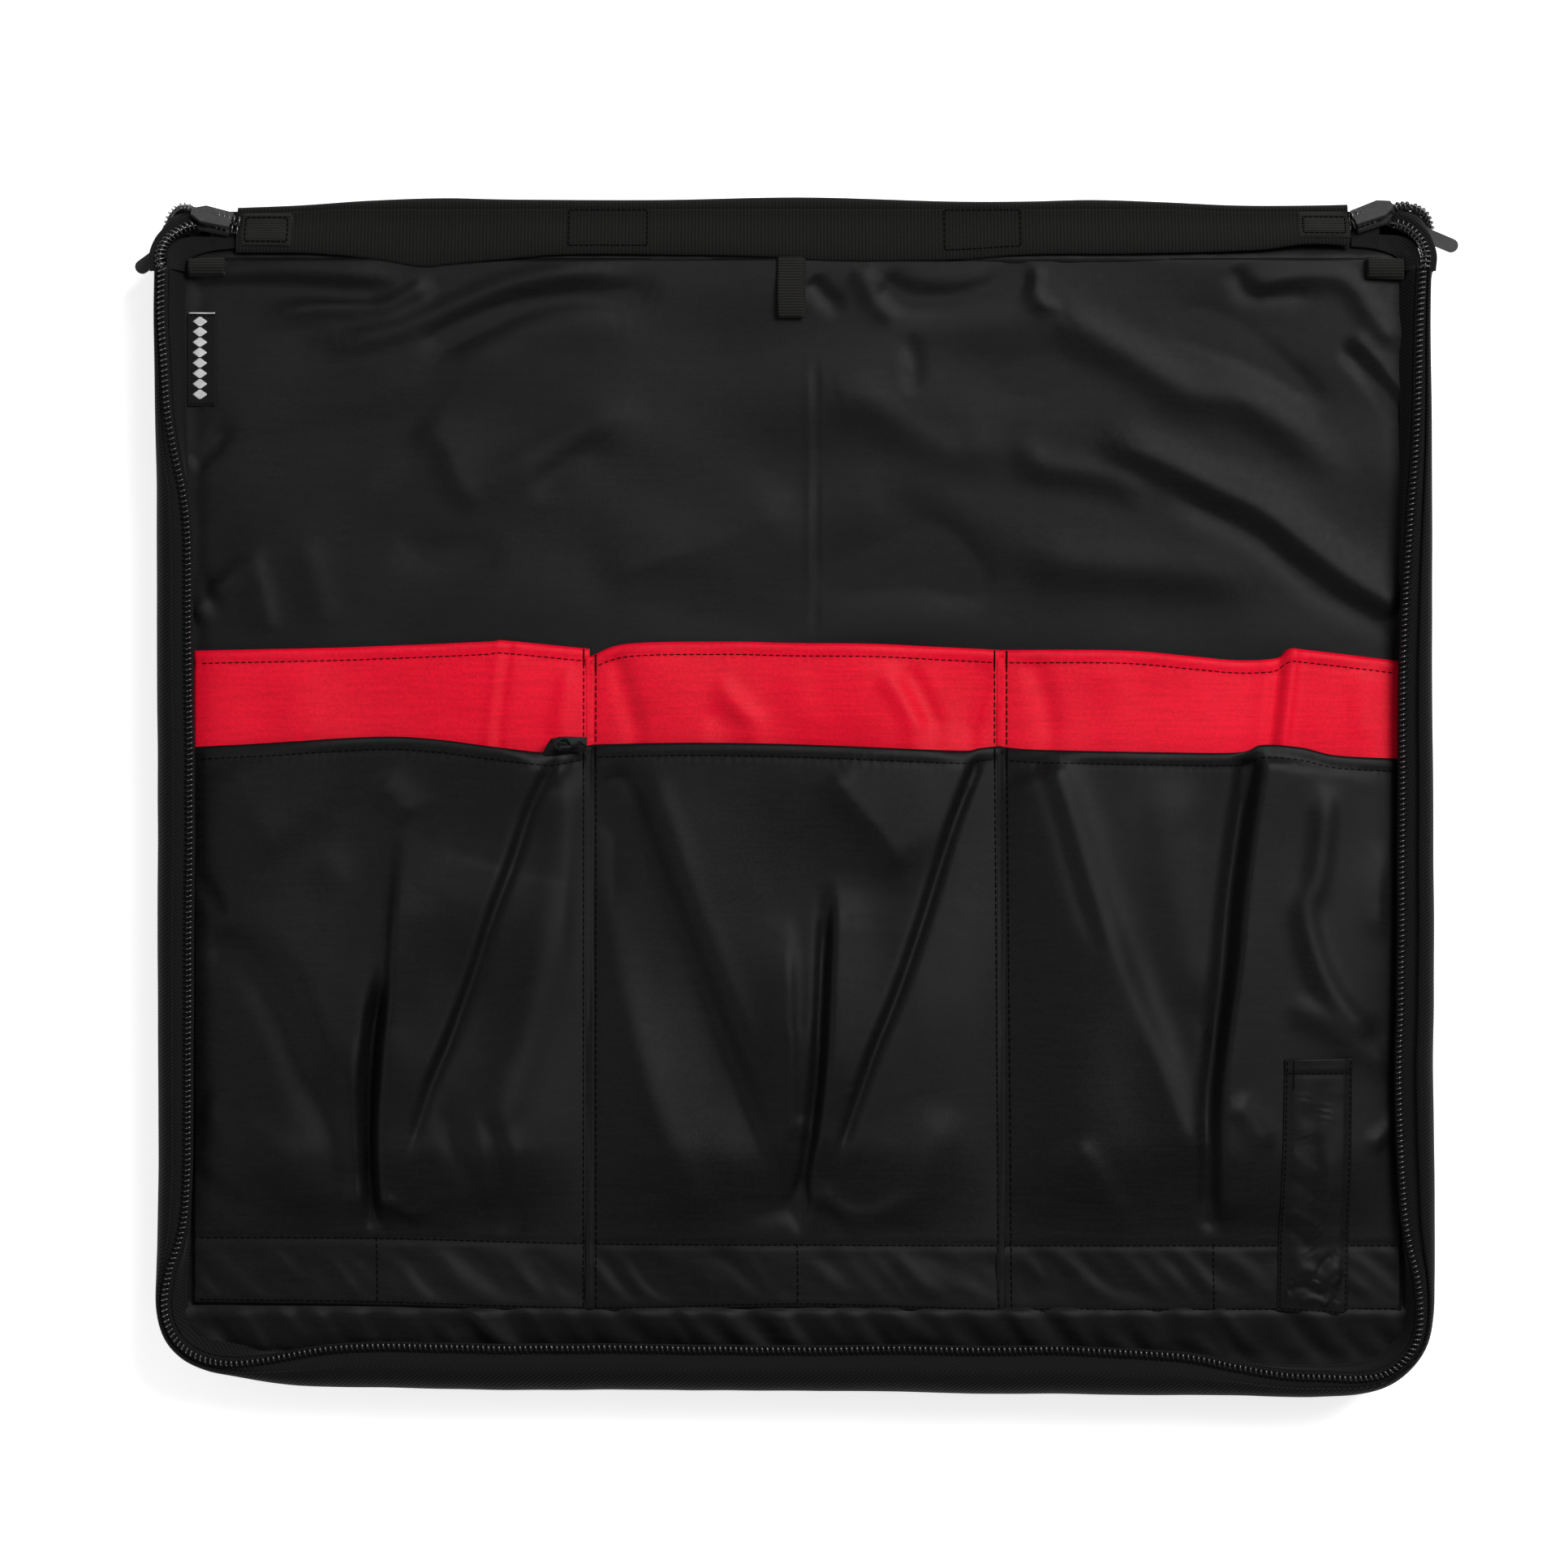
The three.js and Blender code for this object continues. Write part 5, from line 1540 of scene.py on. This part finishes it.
def build_turned_corner():
    """The mouth's hem beside the divider, turned over into a small fold."""
    z = over(black["left"], np.array([[-92.0]]), np.array([[14.0]]))[0, 0]
    curves = [
        [(-99.6, 14.6, z + 0.9), (-94.0, 15.6, z + 0.8), (-88, 16.6, z + 0.6), (-82.2, 16.6, z + 0.4)],
        [(-98.4, 18.4, z + 2.0), (-93.6, 18.4, z + 2.8), (-88, 18.9, z + 2.2), (-82.2, 19.0, z + 1.2)],
        [(-96.2, 21.8, z + 1.5), (-92.4, 22.6, z + 1.9), (-87, 22.6, z + 1.6), (-82.0, 22.4, z + 0.9)],
    ]
    points = loft(curves, 30, 60)
    add_folds(points, points.copy(), [
        ([(-96, 22.5), (-94.0, 19), (-91.5, 15.6)], 1.3, 0.7, 1.6, (0, 0.1)),
        ([(-93, 22.3), (-91.5, 20.2), (-88.5, 22)], -1.2, 1.0, 1.2, (0.1, 0.1)),
        ([(-90, 16), (-86, 18), (-83, 21)], -0.8, 1.2, 1.6, (0.1, 0.1)),
    ])
    settle(cloth("turned_hem_corner", points, POCKET_THICK, POCKET_BLACK), "front_half")


build_turned_corner()


# ---- sliders and pulls keep their CAD shape

for zip_side in ("left", "right"):
    for part, material in (("slider", DARK_ENAMEL), ("pull", PULL_ENAMEL)):
        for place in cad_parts[f"{zip_side}_{part}"].material_slots:
            place.material = material


# ---- stage, lights and camera

def plain_stage():
    n = Nodes("stage_paper")
    n.set(Base_Color=n.ramp(n.noise(2, 2), (0.93, 0.93, 0.93), (0.95, 0.95, 0.95)), Roughness=0.9)
    n.set(Emission_Color=(1, 1, 1, 1), Emission_Strength=0.6)
    floor = mesh_object("floor", [(-6000, -6000, 0), (6000, -6000, 0), (6000, 6000, 0), (-6000, 6000, 0)],
                        np.array([[0, 1, 2, 3]]), n.material)


def area_light(name, place, size, energy):
    light = bpy.data.lights.new(name, "AREA")
    light.shape = "RECTANGLE"
    light.size, light.size_y = size
    light.energy = energy
    obj = bpy.data.objects.new(name, light)
    obj.location = place
    towards_bag = Vector((0, 0, 0.02)) - Vector(place)
    obj.rotation_euler = towards_bag.to_track_quat("-Z", "Y").to_euler()
    scene.collection.objects.link(obj)


def lights_and_camera():
    world = bpy.data.worlds.new("studio")
    scene.world = world
    world.use_nodes = True
    sky = world.node_tree.nodes["Background"].inputs
    sky["Color"].default_value = (1, 1, 1, 1)
    sky["Strength"].default_value = 0.31
    area_light("key_light", (1.12, 1.2, 1.95), (1.2, 1.05), 65)
    area_light("fill_light", (-1.3, -0.3, 0.9), (0.8, 1.2), 3.3)
    camera = bpy.data.objects.new("camera", bpy.data.cameras.new("camera"))
    camera.data.sensor_width = 36
    camera.data.lens = 90
    wide, rim = 0.6133, 0.034  # metres: the width in view at the height of the rim
    camera.location = (-0.005, 0.0041, wide * camera.data.lens / camera.data.sensor_width + rim)
    scene.collection.objects.link(camera)
    scene.camera = camera
    scene.view_settings.view_transform = "Standard"


plain_stage()
lights_and_camera()
